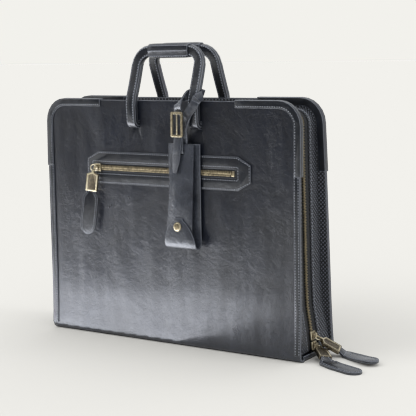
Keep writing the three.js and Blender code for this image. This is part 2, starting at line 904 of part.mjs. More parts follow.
const lugEye = linkWire / 2 + 2 * gap;
const lugTop = lugEye + pullBevel;
const shoulderTop = lugTop - lugLength;
const pullFoot = shoulderTop - pullLength;

// The pull hangs from its lug, whose eye is at the frame's origin, and holds the tab's neck in its foot.
function pullPlate() {
  const half = pullWidth / 2;
  const outline = new THREE.Shape([
    new THREE.Vector2(-half, pullFoot + pullBevel),
    new THREE.Vector2(-half + pullBevel, pullFoot),
    new THREE.Vector2(half - pullBevel, pullFoot),
    new THREE.Vector2(half, pullFoot + pullBevel),
    new THREE.Vector2(half, shoulderTop - shoulderDrop),
    new THREE.Vector2(lugWidth / 2 + pullBevel, shoulderTop),
    new THREE.Vector2(-lugWidth / 2 - pullBevel, shoulderTop),
    new THREE.Vector2(-half, shoulderTop - shoulderDrop),
  ]);
  const plate = new THREE.ExtrudeGeometry(outline, {
    depth: pullThickness - 2 * pullBevel,
    bevelEnabled: true,
    bevelThickness: pullBevel,
    bevelSize: pullBevel,
    bevelOffset: -pullBevel,
    bevelSegments: 1,
  });
  plate.translate(0, 0, -pullThickness / 2 + pullBevel);
  plate.rotateX(Math.PI / 2);
  const lug = extrude(new THREE.Shape([
    new THREE.Vector2(-pullThickness / 2, shoulderTop - shoulderDrop),
    new THREE.Vector2(pullThickness / 2, shoulderTop - shoulderDrop),
    new THREE.Vector2(pullThickness / 2, lugTop - pullBevel),
    new THREE.Vector2(pullThickness / 2 - pullBevel, lugTop),
    new THREE.Vector2(-pullThickness / 2 + pullBevel, lugTop),
    new THREE.Vector2(-pullThickness / 2, lugTop - pullBevel),
  ]), lugWidth);
  lug.translate(0, 0, -lugWidth / 2);
  lug.rotateX(Math.PI / 2);
  lug.rotateZ(Math.PI / 2);
  const eye = new THREE.CylinderGeometry(lugEye, lugEye, lugWidth * 2, 10);
  eye.rotateZ(Math.PI / 2);
  const mouth = new THREE.BoxGeometry(
    tabNeckWidth + 2 * gap,
    tabThickness + 2 * gap,
    2 * (tabNeckDepth + gap),
  );
  mouth.translate(0, 0, pullFoot);
  return cut(join([plate, lug]), [eye, mouth]);
}

// Half the tab's width at a distance from its hidden end: neck, shoulders, straight sides and round tip
function tabHalfWidth(along, length) {
  const fromNeck = smooth((along - tabNeckDepth - gap) / tabShoulder);
  const side = (tabNeckWidth + (tabWidth - tabNeckWidth) * fromNeck) / 2;
  const intoTip = Math.max(0, 1 - (length - along) / tabTip);
  return side * Math.sqrt(Math.max(0.01, 1 - intoTip * intoTip));
}

// Stations along a tab, as distances from its hidden end
function tabStations(length) {
  const shoulders = [0, 0.3, 0.65, 1].map((share) => tabNeckDepth + gap + share * tabShoulder);
  const tip = [0, 0.35, 0.65, 0.87, 1].map((share) => length - tabTip + share * tabTip);
  const start = shoulders[shoulders.length - 1];
  const sides = [0.33, 0.67].map((share) => start + share * (tip[0] - start));
  return [0, ...shoulders, ...sides, ...tip];
}

// A tab whose middle line and two directions are given at each station
function tab(length, frameAt) {
  const stations = tabStations(length);
  const columns = 2;
  return wall(columns, stations.length - 1, (column, row, layer) => {
    const { at, wide, out } = frameAt(stations[row]);
    const half = tabHalfWidth(stations[row], length);
    return at.clone()
      .addScaledVector(wide, (2 * column / columns - 1) * half)
      .addScaledVector(out, (layer - 0.5) * tabThickness);
  });
}

const degree = Math.PI / 180;

// Adds a slider's link, pull and tab. The link goes round the bridge's middle, where its wire runs along
// wireRun, and lies to the side of the bridge that out gives. The pull hangs from it, turned by heading.
function addPull(name, bridge, out, wireRun, tabLength, routeFrom) {
  const heading = pullTable[name].heading * degree;
  const down = out.clone().multiplyScalar(Math.cos(heading)).addScaledVector(wireRun, Math.sin(heading));
  const face = new THREE.Vector3().crossVectors(out, wireRun);
  const across = new THREE.Vector3().crossVectors(down, face);
  const middle = bridge.clone().addScaledVector(out, linkRadius);
  const eye = middle.clone().addScaledVector(down, linkRadius);
  const neck = eye.clone().addScaledVector(down, -pullFoot - tabNeckDepth);
  const straight = (along) => ({ at: neck.clone().addScaledVector(down, along), wide: across, out: face });
  addPiece(`${name}_link`, placed(linkRing(), middle, across, face), brass);
  addPiece(`${name}_pull`, placed(pullPlate(), eye, across, face), brass);
  addPiece(`${name}_tab`, tab(tabLength, routeFrom ? routeFrom(straight, down) : straight), trimLeather);
}

// The pocket's slider has its bridge to the front, and its link lies to its left.
const pocketTeethTop = pocketTeethBase + pocketTeethThickness;
const pocketSliderX = mouthLeft + 2 * gap + sliderLength / 2;
const pocketSliderWidth = sliderWidth - teethWidth + pocketTeethWidth;
const toRight = new THREE.Vector3(1, 0, 0);
const toFront = new THREE.Vector3(0, -1, 0);
const pocketSeat = facePoint(-1, pocketSliderX, facingCentreHeight, pocketTeethTop);
addPiece(
  'pocket_slider',
  placed(
    slider(pocketSliderWidth, pocketTeethWidth / 2, pocketTeethThickness / 2),
    pocketSeat,
    toRight,
    toFront,
  ),
  brass,
);
const pocketSwing = pullTable.pocket.swing * degree;
addPull(
  'pocket',
  pocketSeat.clone().addScaledVector(toFront, eyeHeight),
  new THREE.Vector3(-Math.cos(pocketSwing), -Math.sin(pocketSwing), 0),
  new THREE.Vector3(0, 0, -1),
  pocketTabLength,
);

// The outer face of the main zip's teeth on the right side, at a height: its distance along X
function teethFaceAt(height) {
  const below = gussetStations.findIndex((edge, i) => i > gussetStations.length / 2 && edge.z <= height);
  const last = below < 0 ? gussetStations.length - 1 : below;
  const low = atEdge(gussetStations[last], teethAt(gussetStations[last], 0), 0);
  const high = atEdge(gussetStations[last - 1], teethAt(gussetStations[last - 1], 0), 0);
  const share = (height - low.z) / (high.z - low.z);
  return low.lerp(high, share);
}

// A tab that leaves its pull, comes down and lies on the ground: its middle line goes on ahead by equal
// steps, while it turns level and towards its own heading
function lyingTab(name, length, straight, down) {
  const leave = tabNeckDepth + gap;
  const turned = 0.3 * length;
  const start = straight(leave);
  const fromHeading = Math.atan2(down.y, down.x);
  const toHeading = pullTable[name].tabHeading * degree;
  const rises = [{ share: leave / length, rise: start.at.z / tabThickness }, ...tabRises[name]];
  const riseAt = (along) => lookUp(rises, 'share', 'rise', along / length) * tabThickness;
  const aheadAt = (along) => {
    const heading = fromHeading + (toHeading - fromHeading) * smooth((along - leave) / turned);
    return new THREE.Vector3(Math.cos(heading), Math.sin(heading), 0);
  };
  return (along) => {
    if (along <= leave) {
      return straight(along);
    }
    const at = start.at.clone();
    const steps = Math.ceil(along - leave);
    for (let step = 0; step < steps; step += 1) {
      const share = (step + 0.5) / steps;
      at.addScaledVector(aheadAt(leave + share * (along - leave)), (along - leave) / steps);
    }
    at.z = riseAt(along);
    const ahead = aheadAt(along);
    const level = new THREE.Vector3(ahead.y, -ahead.x, 0);
    const wide = start.wide.clone().lerp(level, smooth((along - leave) / turned)).normalize();
    wide.z *= 1 - smooth((along - leave) / tabShoulder);
    const run = ahead.clone().multiplyScalar(2);
    run.z = riseAt(along + 1) - riseAt(along - 1);
    return { at, wide, out: new THREE.Vector3().crossVectors(wide, run).normalize() };
  };
}

for (const [name, height] of [['upper', upperSliderHeight], ['lower', lowerSliderHeight]]) {
  const seat = teethFaceAt(height);
  const above = teethFaceAt(height + sliderLength / 2);
  const up = above.sub(teethFaceAt(height - sliderLength / 2)).normalize();
  const outwards = new THREE.Vector3(up.z, 0, -up.x);
  addPiece(
    `${name}_slider`,
    placed(slider(sliderWidth, teethWidth / 2, teethThickness / 2), seat, up, outwards),
    brass,
  );
  const swing = pullTable[name].swing * degree;
  addPull(
    name,
    seat.clone().addScaledVector(outwards, eyeHeight),
    new THREE.Vector3(Math.cos(swing), 0, -Math.sin(swing)),
    new THREE.Vector3(0, 1, 0),
    mainTabLength,
    (straight, down) => lyingTab(name, mainTabLength, straight, down),
  );
}

// Tag: two leaves that hang against the front, drawn as height and stand-off from the panel's plain face

const tagTop = caseHeight - tagTopDrop;
const tagFoot = tagTop - tagHeight;
const tagStandOff = Math.max(facingThickness, pocketTeethTop) + 2 * gap;

function tagPoint(x, z, standOff) {
  return new THREE.Vector3(x, -(halfDepth(z) + standOff), z);
}

// Places a piece on the tag, standing out from a layer and leaning with it
function onTag(geometry, x, z, reach, layerAt) {
  const low = tagPoint(x, z - reach, layerAt(z - reach));
  const high = tagPoint(x, z + reach, layerAt(z + reach));
  const up = new THREE.Vector3().subVectors(high, low).normalize();
  const outwards = new THREE.Vector3().crossVectors(toRight, up);
  return placed(geometry, low.lerp(high, 0.5), toRight, outwards);
}

function leafGap(z) {
  return frontLeafTopGap + (frontLeafFootGap - frontLeafTopGap) * ((tagTop - z) / frontLeafLength);
}

// The back leaf runs down, turns at the foot and comes up in front as the flap
function backLeaf() {
  const turn = (frontLeafFootGap + tagLeather + 2 * gap) / 2;
  const inside = tagStandOff + tagLeather;
  const line = [];
  const drops = 5;
  const turnHeight = tagFoot + tagLeather + turn;
  for (let step = 0; step <= drops; step += 1) {
    line.push(new THREE.Vector2(inside, tagTop + (step / drops) * (turnHeight - tagTop)));
  }
  const turns = 6;
  for (let step = 1; step <= turns; step += 1) {
    const angle = Math.PI + (step / turns) * Math.PI;
    line.push(new THREE.Vector2(
      inside + turn + turn * Math.cos(angle),
      turnHeight + turn * Math.sin(angle),
    ));
  }
  const flapTop = tagFoot + flapHeight;
  const flaps = 7;
  for (let step = 1; step <= flaps; step += 1) {
    const height = turnHeight + Math.sin((step / flaps) * (Math.PI / 2)) * (flapTop - turnHeight);
    const lean = leafGap(height) - frontLeafFootGap;
    line.push(new THREE.Vector2(inside + 2 * turn + lean + gap, height));
  }
  const outer = besideLine(line, -tagLeather);
  const flapFrom = drops + turns;
  return wall(4, line.length - 1, (column, row, layer) => {
    const point = (layer ? outer : line)[row];
    const up = row > flapFrom ? (line[row].y - turnHeight) / (flapTop - turnHeight) : 0;
    const half = (tagWidth / 2) * Math.max(0.12, 1 - up ** flapTaper) ** flapRoundness;
    return tagPoint(tagCentre + snapShift * up + (column / 2 - 1) * half, point.y, point.x);
  });
}

const frontLeafLeft = tagCentre - tagWidth / 2;
const tagSlotTop = tagTop - tagSlotDrop + tagSlotHeight / 2;
const buckleX = tagCentre + buckleShift;

function frontLeaf() {
  const rows = 5;
  const columns = 3;
  const leaf = wall(columns, rows, (column, row, layer) => {
    const share = row / rows;
    const z = tagTop - share * frontLeafLength;
    const fold = leafFoldWidth * (1 - 0.85 * share);
    const acrosses = [0, fold, (fold + frontLeafWidth) / 2, frontLeafWidth];
    const back = tagStandOff + tagLeather + (column ? leafGap(z) : gap);
    return tagPoint(frontLeafLeft + acrosses[column], z, back + layer * tagLeather);
  });
  const slotHalf = tagStrapWidth / 2 + 2 * gap;
  const reach = halfDepth(tagTop) + tagStandOff + tagLeather;
  return cut(leaf, [boxBetween(
    new THREE.Vector3(buckleX - slotHalf, -reach - 3 * frontLeafTopGap, tagSlotTop - tagSlotHeight),
    new THREE.Vector3(buckleX + slotHalf, -reach + gap, tagSlotTop),
  )]);
}
addPiece('tag_back_leaf', backLeaf(), tagLeatherFinish);
addPiece('tag_front_leaf', frontLeaf(), tagLeatherFinish);

// The snap's cap on the flap
const snapZ = tagFoot + snapHeight;
const snapLayer = (z) => tagStandOff + 3 * tagLeather + leafGap(z) + 4 * gap;
addPiece('tag_snap', onTag(new THREE.LatheGeometry([
  new THREE.Vector2(0, 0),
  new THREE.Vector2(snapRadius, 0),
  new THREE.Vector2(snapRadius, snapThickness * 0.4),
  new THREE.Vector2(snapRadius * 0.82, snapThickness * 0.85),
  new THREE.Vector2(snapRadius * 0.4, snapThickness),
  new THREE.Vector2(0, snapThickness),
], 14), tagCentre + snapShift, snapZ, snapRadius, snapLayer), brass);

// Layers of the tag's strap over the front leaf: the fixed strand, then the free end, then the buckle
const slotFoot = tagSlotTop - tagSlotHeight;
const fixedLayer = tagStandOff + 2 * tagLeather + leafGap(slotFoot) + 2 * gap + tagStrapThickness / 2;
const freeLayer = fixedLayer + tagStrapThickness + gap;
const buckleLayer = freeLayer + tagStrapThickness / 2 + 2 * gap;
const behindLayer = tagStandOff + tagLeather + leafGap(tagTop) / 2;
const buckleZ = caseHeight - buckleDrop;

// The buckle's frame and prong, drawn lying down with their faces towards +Y
function buckle() {
  const [w, h] = [buckleWidth / 2, buckleHeight / 2];
  const corner = buckleBar / 2;
  const frame = new THREE.Shape([
    new THREE.Vector2(-w + corner, -h),
    new THREE.Vector2(w - corner, -h),
    new THREE.Vector2(w, -h + corner),
    new THREE.Vector2(w, h - corner),
    new THREE.Vector2(w - corner, h),
    new THREE.Vector2(-w + corner, h),
    new THREE.Vector2(-w, h - corner),
    new THREE.Vector2(-w, -h + corner),
  ]);
  frame.holes.push(new THREE.Path([
    new THREE.Vector2(-w + buckleBar, -h + buckleBar),
    new THREE.Vector2(-w + buckleBar, h - buckleBar),
    new THREE.Vector2(w - buckleBar, h - buckleBar),
    new THREE.Vector2(w - buckleBar, -h + buckleBar),
  ]));
  const plate = extrude(frame, buckleThickness);
  plate.rotateX(-Math.PI / 2);
  return plate;
}

function prong() {
  const length = buckleHeight - 2 * buckleBar - 2 * gap;
  const rod = new THREE.CylinderGeometry(prongWidth / 2, prongWidth / 2, length, 8);
  rod.rotateX(Math.PI / 2);
  rod.translate(0, buckleThickness / 2, 0);
  return rod;
}
for (const [name, geometry] of [['tag_buckle', buckle()], ['tag_prong', prong()]]) {
  addPiece(name, onTag(geometry, buckleX, buckleZ, buckleHeight / 2, () => buckleLayer), brass);
}

// The strap's route: from behind the buckle down to the slot, up behind the front leaf, once round the
// handle's right leg, then down behind the buckle to its free end. Each row is x, depth in front of the
// middle of the case, height, and the strap's width direction as x, depth and height. Its small steps are
// shares of the strap's width.
function strapRoute() {
  const face = (z, layer) => halfDepth(z) + layer;
  const part = (share) => share * tagStrapWidth;
  const thick = tagStrapThickness / 2 + gap + wrapSlack;
  const side = legWidth / 2 + thick;
  const clear = strapThickness / 2 + thick;
  const round = (across, out, z, wide) => [
    legCentre + across * side,
    legDepth(z) + out * clear,
    z,
    wide || [0, (legDepth(z - 1) - legDepth(z + 1)) / 2, -1],
  ];
  const turn = (fixedLayer - behindLayer) / 2;
  const turnZ = slotFoot + tagSlotHeight - gap;
  const climbZ = tagTop + part(1.56);
  const wrapZ = caseHeight + tagStrapWidth / 2 + wrapSlack + 2 * gap;
  const low = caseHeight - part(1.4);
  const buckleTop = buckleZ + buckleHeight / 2;
  const buckleFoot = buckleZ - buckleHeight / 2;
  const tip = buckleFoot - freeEndLength;
  const level = [1, 0, 0];
  const back = [-1, 0, 0];
  const free = (z, lift = 0) => face(z, freeLayer + lift);
  return [
    [buckleX, face(buckleZ, fixedLayer), buckleZ - buckleHeight * 0.3, level],
    [buckleX, face(tagTop, fixedLayer), tagTop, level],
    [buckleX, face(turnZ, fixedLayer), turnZ + part(0.16), level],
    [buckleX, face(turnZ, fixedLayer) - turn * 0.3, turnZ - turn * 0.7, level],
    [buckleX, face(turnZ, behindLayer) + turn * 0.3, turnZ - turn * 0.7, level],
    [buckleX, face(turnZ, behindLayer), turnZ + part(0.16), level],
    [buckleX + part(0.31), face(tagTop, behindLayer), tagTop + part(0.08), level],
    [legCentre - side - part(0.05), face(climbZ, behindLayer + part(0.25)), climbZ, [0.6, 0.8, 0]],
    round(-0.62, 1.05, low, [0.75, 0, -0.66]),
    round(0.02, 1, low + part(0.59), [0.62, 0, -0.78]),
    round(0.6, 1.02, low + part(1.09), [0.35, 0, -0.94]),
    round(0.95, 0.93, wrapZ - part(0.36)),
    round(1, 0, wrapZ - part(0.16)),
    round(0.95, -0.93, wrapZ),
    round(0, -1, wrapZ + part(0.08)),
    round(-0.95, -0.93, wrapZ + part(0.08)),
    round(-1.04, 0.1, wrapZ - part(0.03), [0, -0.3, -0.95]),
    round(-1.45, 1, wrapZ - part(0.47), [-0.53, -0.81, -0.25]),
    round(-1.95, 1.45, caseHeight - part(0.55), [-0.9, -0.2, 0.3]),
    [buckleX + part(0.05), free(buckleTop), buckleTop + part(0.16), back],
    [buckleX, free(buckleZ), buckleZ, back],
    [buckleX, free(buckleFoot), buckleFoot, back],
    [buckleX - part(0.16), free(tagTop, part(0.04)), tagTop - part(0.47), back],
    [buckleX - part(0.39), free(tip, part(0.12)), tip, back],
  ].map(([x, depth, z, wide]) => ({
    at: new THREE.Vector3(x, -depth, z),
    wide: new THREE.Vector3(wide[0], -wide[1], wide[2]).normalize(),
  }));
}

function tagStrap() {
  const route = strapRoute();
  const curve = new THREE.CatmullRomCurve3(route.map(({ at }) => at), false, 'centripetal');
  const perSpan = 2;
  const rows = (route.length - 1) * perSpan;
  const frames = [];
  for (let row = 0; row <= rows; row += 1) {
    const span = Math.min(route.length - 2, Math.floor(row / perSpan));
    const share = row / perSpan - span;
    const wide = route[span].wide.clone().lerp(route[span + 1].wide, share);
    const run = curve.getTangent(row / rows);
    wide.addScaledVector(run, -wide.dot(run)).normalize();
    frames.push({ at: curve.getPoint(row / rows), wide, out: new THREE.Vector3().crossVectors(run, wide) });
  }
  return wall(1, rows, (column, row, layer) => {
    const { at, wide, out } = frames[row];
    const share = row === rows ? 0.45 : 1;
    return at.clone()
      .addScaledVector(wide, (column - 0.5) * tagStrapWidth * share)
      .addScaledVector(out, (layer - 0.5) * tagStrapThickness);
  });
}
addPiece('tag_strap', tagStrap(), tagLeatherFinish);

export default caseGroup;
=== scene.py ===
"""A slim leather document case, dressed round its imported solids. Metres; +X right, +Y back, +Z up."""

import logging
import math
from dataclasses import dataclass
from enum import Enum

import bmesh
import bpy
from mathutils import Matrix, Vector
from mathutils.bvhtree import BVHTree


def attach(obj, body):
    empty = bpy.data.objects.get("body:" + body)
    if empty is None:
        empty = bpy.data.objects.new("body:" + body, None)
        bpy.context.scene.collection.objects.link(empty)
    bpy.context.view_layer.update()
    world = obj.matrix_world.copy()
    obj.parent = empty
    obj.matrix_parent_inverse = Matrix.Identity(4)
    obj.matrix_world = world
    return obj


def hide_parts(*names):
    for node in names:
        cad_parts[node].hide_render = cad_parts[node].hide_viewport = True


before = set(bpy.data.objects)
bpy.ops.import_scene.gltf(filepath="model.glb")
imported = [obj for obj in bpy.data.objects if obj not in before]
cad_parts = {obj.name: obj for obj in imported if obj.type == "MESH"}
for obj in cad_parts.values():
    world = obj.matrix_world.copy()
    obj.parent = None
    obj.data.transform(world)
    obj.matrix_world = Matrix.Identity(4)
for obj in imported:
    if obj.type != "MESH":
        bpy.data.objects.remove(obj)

MM = 0.001
LOG = logging.getLogger("document_case")
Tree = bpy.types.NodeTree
Socket = bpy.types.NodeSocket
Material = bpy.types.Material


class Slot(Enum):
    """The record's material slots."""

    PANEL = "panel_leather"
    TRIM = "trim_leather"
    TAG = "tag_leather"
    TAPE = "tape"
    BRASS = "brass"


# Materials


def linear(code: str) -> tuple[float, float, float, float]:
    """Turns an sRGB hex colour into a linear one.

    Args:
        code: the colour as six hex digits.

    Returns:
        Red, green, blue and an alpha of 1.
    """
    parts = [int(code[i : i + 2], 16) / 255 for i in (0, 2, 4)]
    light = [c / 12.92 if c <= 0.04045 else ((c + 0.055) / 1.055) ** 2.4 for c in parts]
    return (light[0], light[1], light[2], 1.0)


def add_node(
    tree: Tree, kind: str, links: dict | None = None, **settings: object
) -> bpy.types.Node:
    """Adds a node to a tree.

    Args:
        tree: the material's node tree.
        kind: the node's type.
        links: by input name or number, an output to link or a value to set.
        settings: the node's own properties.

    Returns:
        The new node.
    """
    node = tree.nodes.new(kind)
    for key, value in settings.items():
        setattr(node, key, value)
    for key, value in (links or {}).items():
        socket = node.inputs[key]
        if isinstance(value, Socket):
            tree.links.new(value, socket)
        else:
            socket.default_value = value
    return node


def mix_tones(tree: Tree, share: Socket, dark: str, light: str) -> Socket:
    """Mixes two colours.

    Args:
        tree: the material's node tree.
        share: how much of the light colour shows, from 0 to 1.
        dark: the colour at 0, as six hex digits.
        light: the colour at 1.

    Returns:
        The mixed colour.
    """
    tones = {0: share, 6: linear(dark), 7: linear(light)}
    return add_node(tree, "ShaderNodeMix", tones, data_type="RGBA").outputs[2]


def add_bump(
    tree: Tree, height: Socket, strength: float, depth_mm: float, under: Socket | None = None
) -> Socket:
    """Raises a pattern a little on the surface.

    Args:
        tree: the material's node tree.
        height: the pattern.
        strength: how strongly it shows, from 0 to 1.
        depth_mm: its height in millimetres.
        under: the bumps that it lies on.

    Returns:
        The bumped normal.
    """
    links = {"Height": height, "Strength": strength, "Distance": depth_mm * MM}
    if under is not None:
        links["Normal"] = under
    return add_node(tree, "ShaderNodeBump", links).outputs[0]


def new_material(name: str) -> tuple[Material, Tree, bpy.types.Node, Socket]:
    """Starts a material.

    Args:
        name: the material's name.

    Returns:
        The material, its tree, its shader and the Object coordinates.
    """
    material = bpy.data.materials.new(name)
    material.use_nodes = True
    tree = material.node_tree
    tree.nodes.clear()
    shader = add_node(tree, "ShaderNodeBsdfPrincipled")
    add_node(tree, "ShaderNodeOutputMaterial", {"Surface": shader.outputs["BSDF"]})
    place = add_node(tree, "ShaderNodeTexCoord").outputs["Object"]
    return material, tree, shader, place


def per_mm(size: float) -> float:
    """Gives a pattern's texture scale.

    Args:
        size: how large its shapes are, in millimetres.

    Returns:
        The scale, in shapes per metre.
    """
    return 1 / (size * MM)


@dataclass(frozen=True)
class GlazedLeather:
    """Vegetable-tanned cowhide, aniline dyed blue-black, waxed and glazed by rolling.

    It has a satin gloss that breaks up over fine creases, painted shade along each crease line,
    a pebbled grain, and cloudy lighter patches where the wax has been rubbed.
    """

    name: str
    dark: str
    light: str
    roughness: float = 0.36
    cloud_mm: float = 70
    crease_mm: float = 11
    grain_mm: float = 1.7
    crease_depth_mm: float = 0.35
    grain_depth_mm: float = 0.05
    mottle_mm: float = 5.5
    mottle_depth_mm: float = 0.4
    sag_depth_mm: float = 4.0
    drape_depth_mm: float = 2.0
    drape_lean: float = -14
    coat: float = 0.55
    coat_roughness: float = 0.15

    def build(self) -> Material:
        """Builds the material.

        Returns:
            The finished material.
        """
        material, tree, shader, place = new_material(self.name)
        cloud = self.noise(tree, place, self.cloud_mm, 4, 0.6, 0.4)
        crease = self.noise(tree, place, self.crease_mm, 5, 0.62, 1.2)
        # Creases are where the noise crosses its middle, as thin lines
        off = add_node(tree, "ShaderNodeMath", {0: crease, 1: 0.5}, operation="SUBTRACT").outputs[0]
        line = add_node(tree, "ShaderNodeMath", {0: off}, operation="ABSOLUTE").outputs[0]
        fold = add_node(tree, "ShaderNodeMapRange", {"Value": line, "From Max": 0.05}).outputs[0]
        grain = add_node(
            tree,
            "ShaderNodeTexVoronoi",
            {"Vector": place, "Scale": per_mm(self.grain_mm)},
            feature="SMOOTH_F1",
        ).outputs[0]
        shade = add_node(
            tree, "ShaderNodeMapRange", {"Value": cloud, "From Min": 0.35, "From Max": 0.75}
        ).outputs[0]
        tone = mix_tones(tree, shade, self.dark, self.light)
        # Painted shade: the colour is darkened along each crease line, where shade would fall
        painted_crease_shade = add_node(
            tree, "ShaderNodeMapRange", {"Value": fold, "To Min": 0.62, "To Max": 1.0}
        ).outputs[0]
        colour = add_node(
            tree,
            "ShaderNodeMix",
            {0: 1.0, 6: tone, 7: painted_crease_shade},
            data_type="RGBA",
            blend_type="MULTIPLY",
        ).outputs[2]
        rough = add_node(
            tree,
            "ShaderNodeMapRange",
            {
                "Value": cloud,
                "From Min": 0.3,
                "From Max": 0.7,
                "To Min": self.roughness + 0.07,
                "To Max": self.roughness - 0.06,
            },
        ).outputs[0]
        pebbles = add_bump(tree, grain, 0.35, self.grain_depth_mm * 4)
        creased = add_bump(tree, fold, 0.28, self.crease_depth_mm, pebbles)
        pull = self.noise(tree, place, self.mottle_mm, 3, 0.55, 0.8)
        mottled = add_bump(tree, pull, 0.5, self.mottle_depth_mm, creased)
        sagging = add_bump(tree, cloud, 0.5, self.sag_depth_mm, mottled)
        lean = add_node(
            tree,
            "ShaderNodeMapping",
            {"Vector": place, "Rotation": (0, math.radians(self.drape_lean), 0), "Scale": (1, 1, 0.3)},
        ).outputs[0]
        folds = self.noise(tree, lean, self.cloud_mm * 0.6, 1.5, 0.5, 0.0)
        drape = add_bump(tree, folds, 0.6, self.drape_depth_mm, sagging)
        tree.links.new(colour, shader.inputs["Base Color"])
        tree.links.new(rough, shader.inputs["Roughness"])
        tree.links.new(drape, shader.inputs["Normal"])
        shader.inputs["Coat Weight"].default_value = self.coat
        shader.inputs["Coat Roughness"].default_value = self.coat_roughness
        return material

    def noise(
        self,
        tree: Tree,
        place: Socket,
        size_mm: float,
        detail: float,
        roughness: float,
        distortion: float,
    ) -> Socket:
        """Adds one layer of cloudy noise.

        Args:
            tree: the material's node tree.
            place: the coordinates.
            size_mm: how large its clouds are, in millimetres.
            detail: how many finer layers it has.
            roughness: how strong the finer layers are.
            distortion: how far the clouds are twisted.

        Returns:
            The noise, from 0 to 1.
        """
        return add_node(
            tree,
            "ShaderNodeTexNoise",
            {
                "Vector": place,
                "Scale": per_mm(size_mm),
                "Detail": detail,
                "Roughness": roughness,
                "Distortion": distortion,
            },
        ).outputs[0]


@dataclass(frozen=True)
class CutEdge:
    """The same hide's cut edge, burnished with wax: its paler colour is partly the worn-off glaze and
    partly a painted highlight along the rounded edges.
    """

    name: str
    dark: str
    light: str

    def build(self) -> Material:
        """Builds the material.

        Returns:
            The finished material.
        """
        material, tree, shader, place = new_material(self.name)
        fibre = add_node(
            tree, "ShaderNodeTexNoise", {"Vector": place, "Scale": per_mm(2.5), "Detail": 3}
        ).outputs[0]
        tone = mix_tones(tree, fibre, self.dark, self.light)
        bump = add_bump(tree, fibre, 0.3, 0.15)
        tree.links.new(tone, shader.inputs["Base Color"])
        tree.links.new(bump, shader.inputs["Normal"])
        shader.inputs["Roughness"].default_value = 0.4
        return material


@dataclass(frozen=True)
class AntiqueBrass:
    """Die-cast brass, darkened and then rubbed back: brown in its hollows and bright on its edges."""

    name: str
    dark: str
    light: str
    roughness: float

    def build(self) -> Material:
        """Builds the material.

        Returns:
            The finished material.
        """
        material, tree, shader, place = new_material(self.name)
        patina = add_node(
            tree,
            "ShaderNodeTexNoise",
            {"Vector": place, "Scale": per_mm(3.2), "Detail": 5, "Roughness": 0.65},
        ).outputs[0]
        worn = add_node(
            tree, "ShaderNodeMapRange", {"Value": patina, "From Min": 0.35, "From Max": 0.62}
        ).outputs[0]
        tone = mix_tones(tree, worn, self.dark, self.light)
        rough = add_node(
            tree,
            "ShaderNodeMapRange",
            {"Value": patina, "To Min": self.roughness + 0.16, "To Max": self.roughness - 0.1},
        ).outputs[0]
        bump = add_bump(tree, patina, 0.25, 0.1)
        tree.links.new(tone, shader.inputs["Base Color"])
        tree.links.new(rough, shader.inputs["Roughness"])
        tree.links.new(bump, shader.inputs["Normal"])
        shader.inputs["Metallic"].default_value = 1.0
        return material


@dataclass(frozen=True)
class HerringboneTape:
    """Woven polyester zip tape: ribs of thread that slant one way and then the other, quite matt."""

    name: str
    dark: str
    light: str
    rib_mm: float = 2.2
    fluff_mm: float = 1.2

    def build(self) -> Material:
        """Builds the material. The real rib is about 0.7 mm and is drawn three times as coarse, to show.

        Returns:
            The finished material.
        """
        material, tree, shader, place = new_material(self.name)
        ribs = add_node(
            tree,
            "ShaderNodeTexWave",
            {"Vector": place, "Scale": per_mm(self.rib_mm) / 6, "Distortion": 1.5, "Detail": 1.0},
            bands_direction="DIAGONAL",
        ).outputs[1]
        fluff = add_node(
            tree, "ShaderNodeTexNoise", {"Vector": place, "Scale": per_mm(self.fluff_mm)}
        ).outputs[0]
        both = add_node(tree, "ShaderNodeMath", {0: ribs, 1: fluff}, operation="MULTIPLY").outputs[0]
        tone = mix_tones(tree, both, self.dark, self.light)
        bump = add_bump(tree, both, 0.7, 0.4)
        tree.links.new(tone, shader.inputs["Base Color"])
        tree.links.new(bump, shader.inputs["Normal"])
        shader.inputs["Roughness"].default_value = 0.8
        shader.inputs["Sheen Weight"].default_value = 0.15
        return material


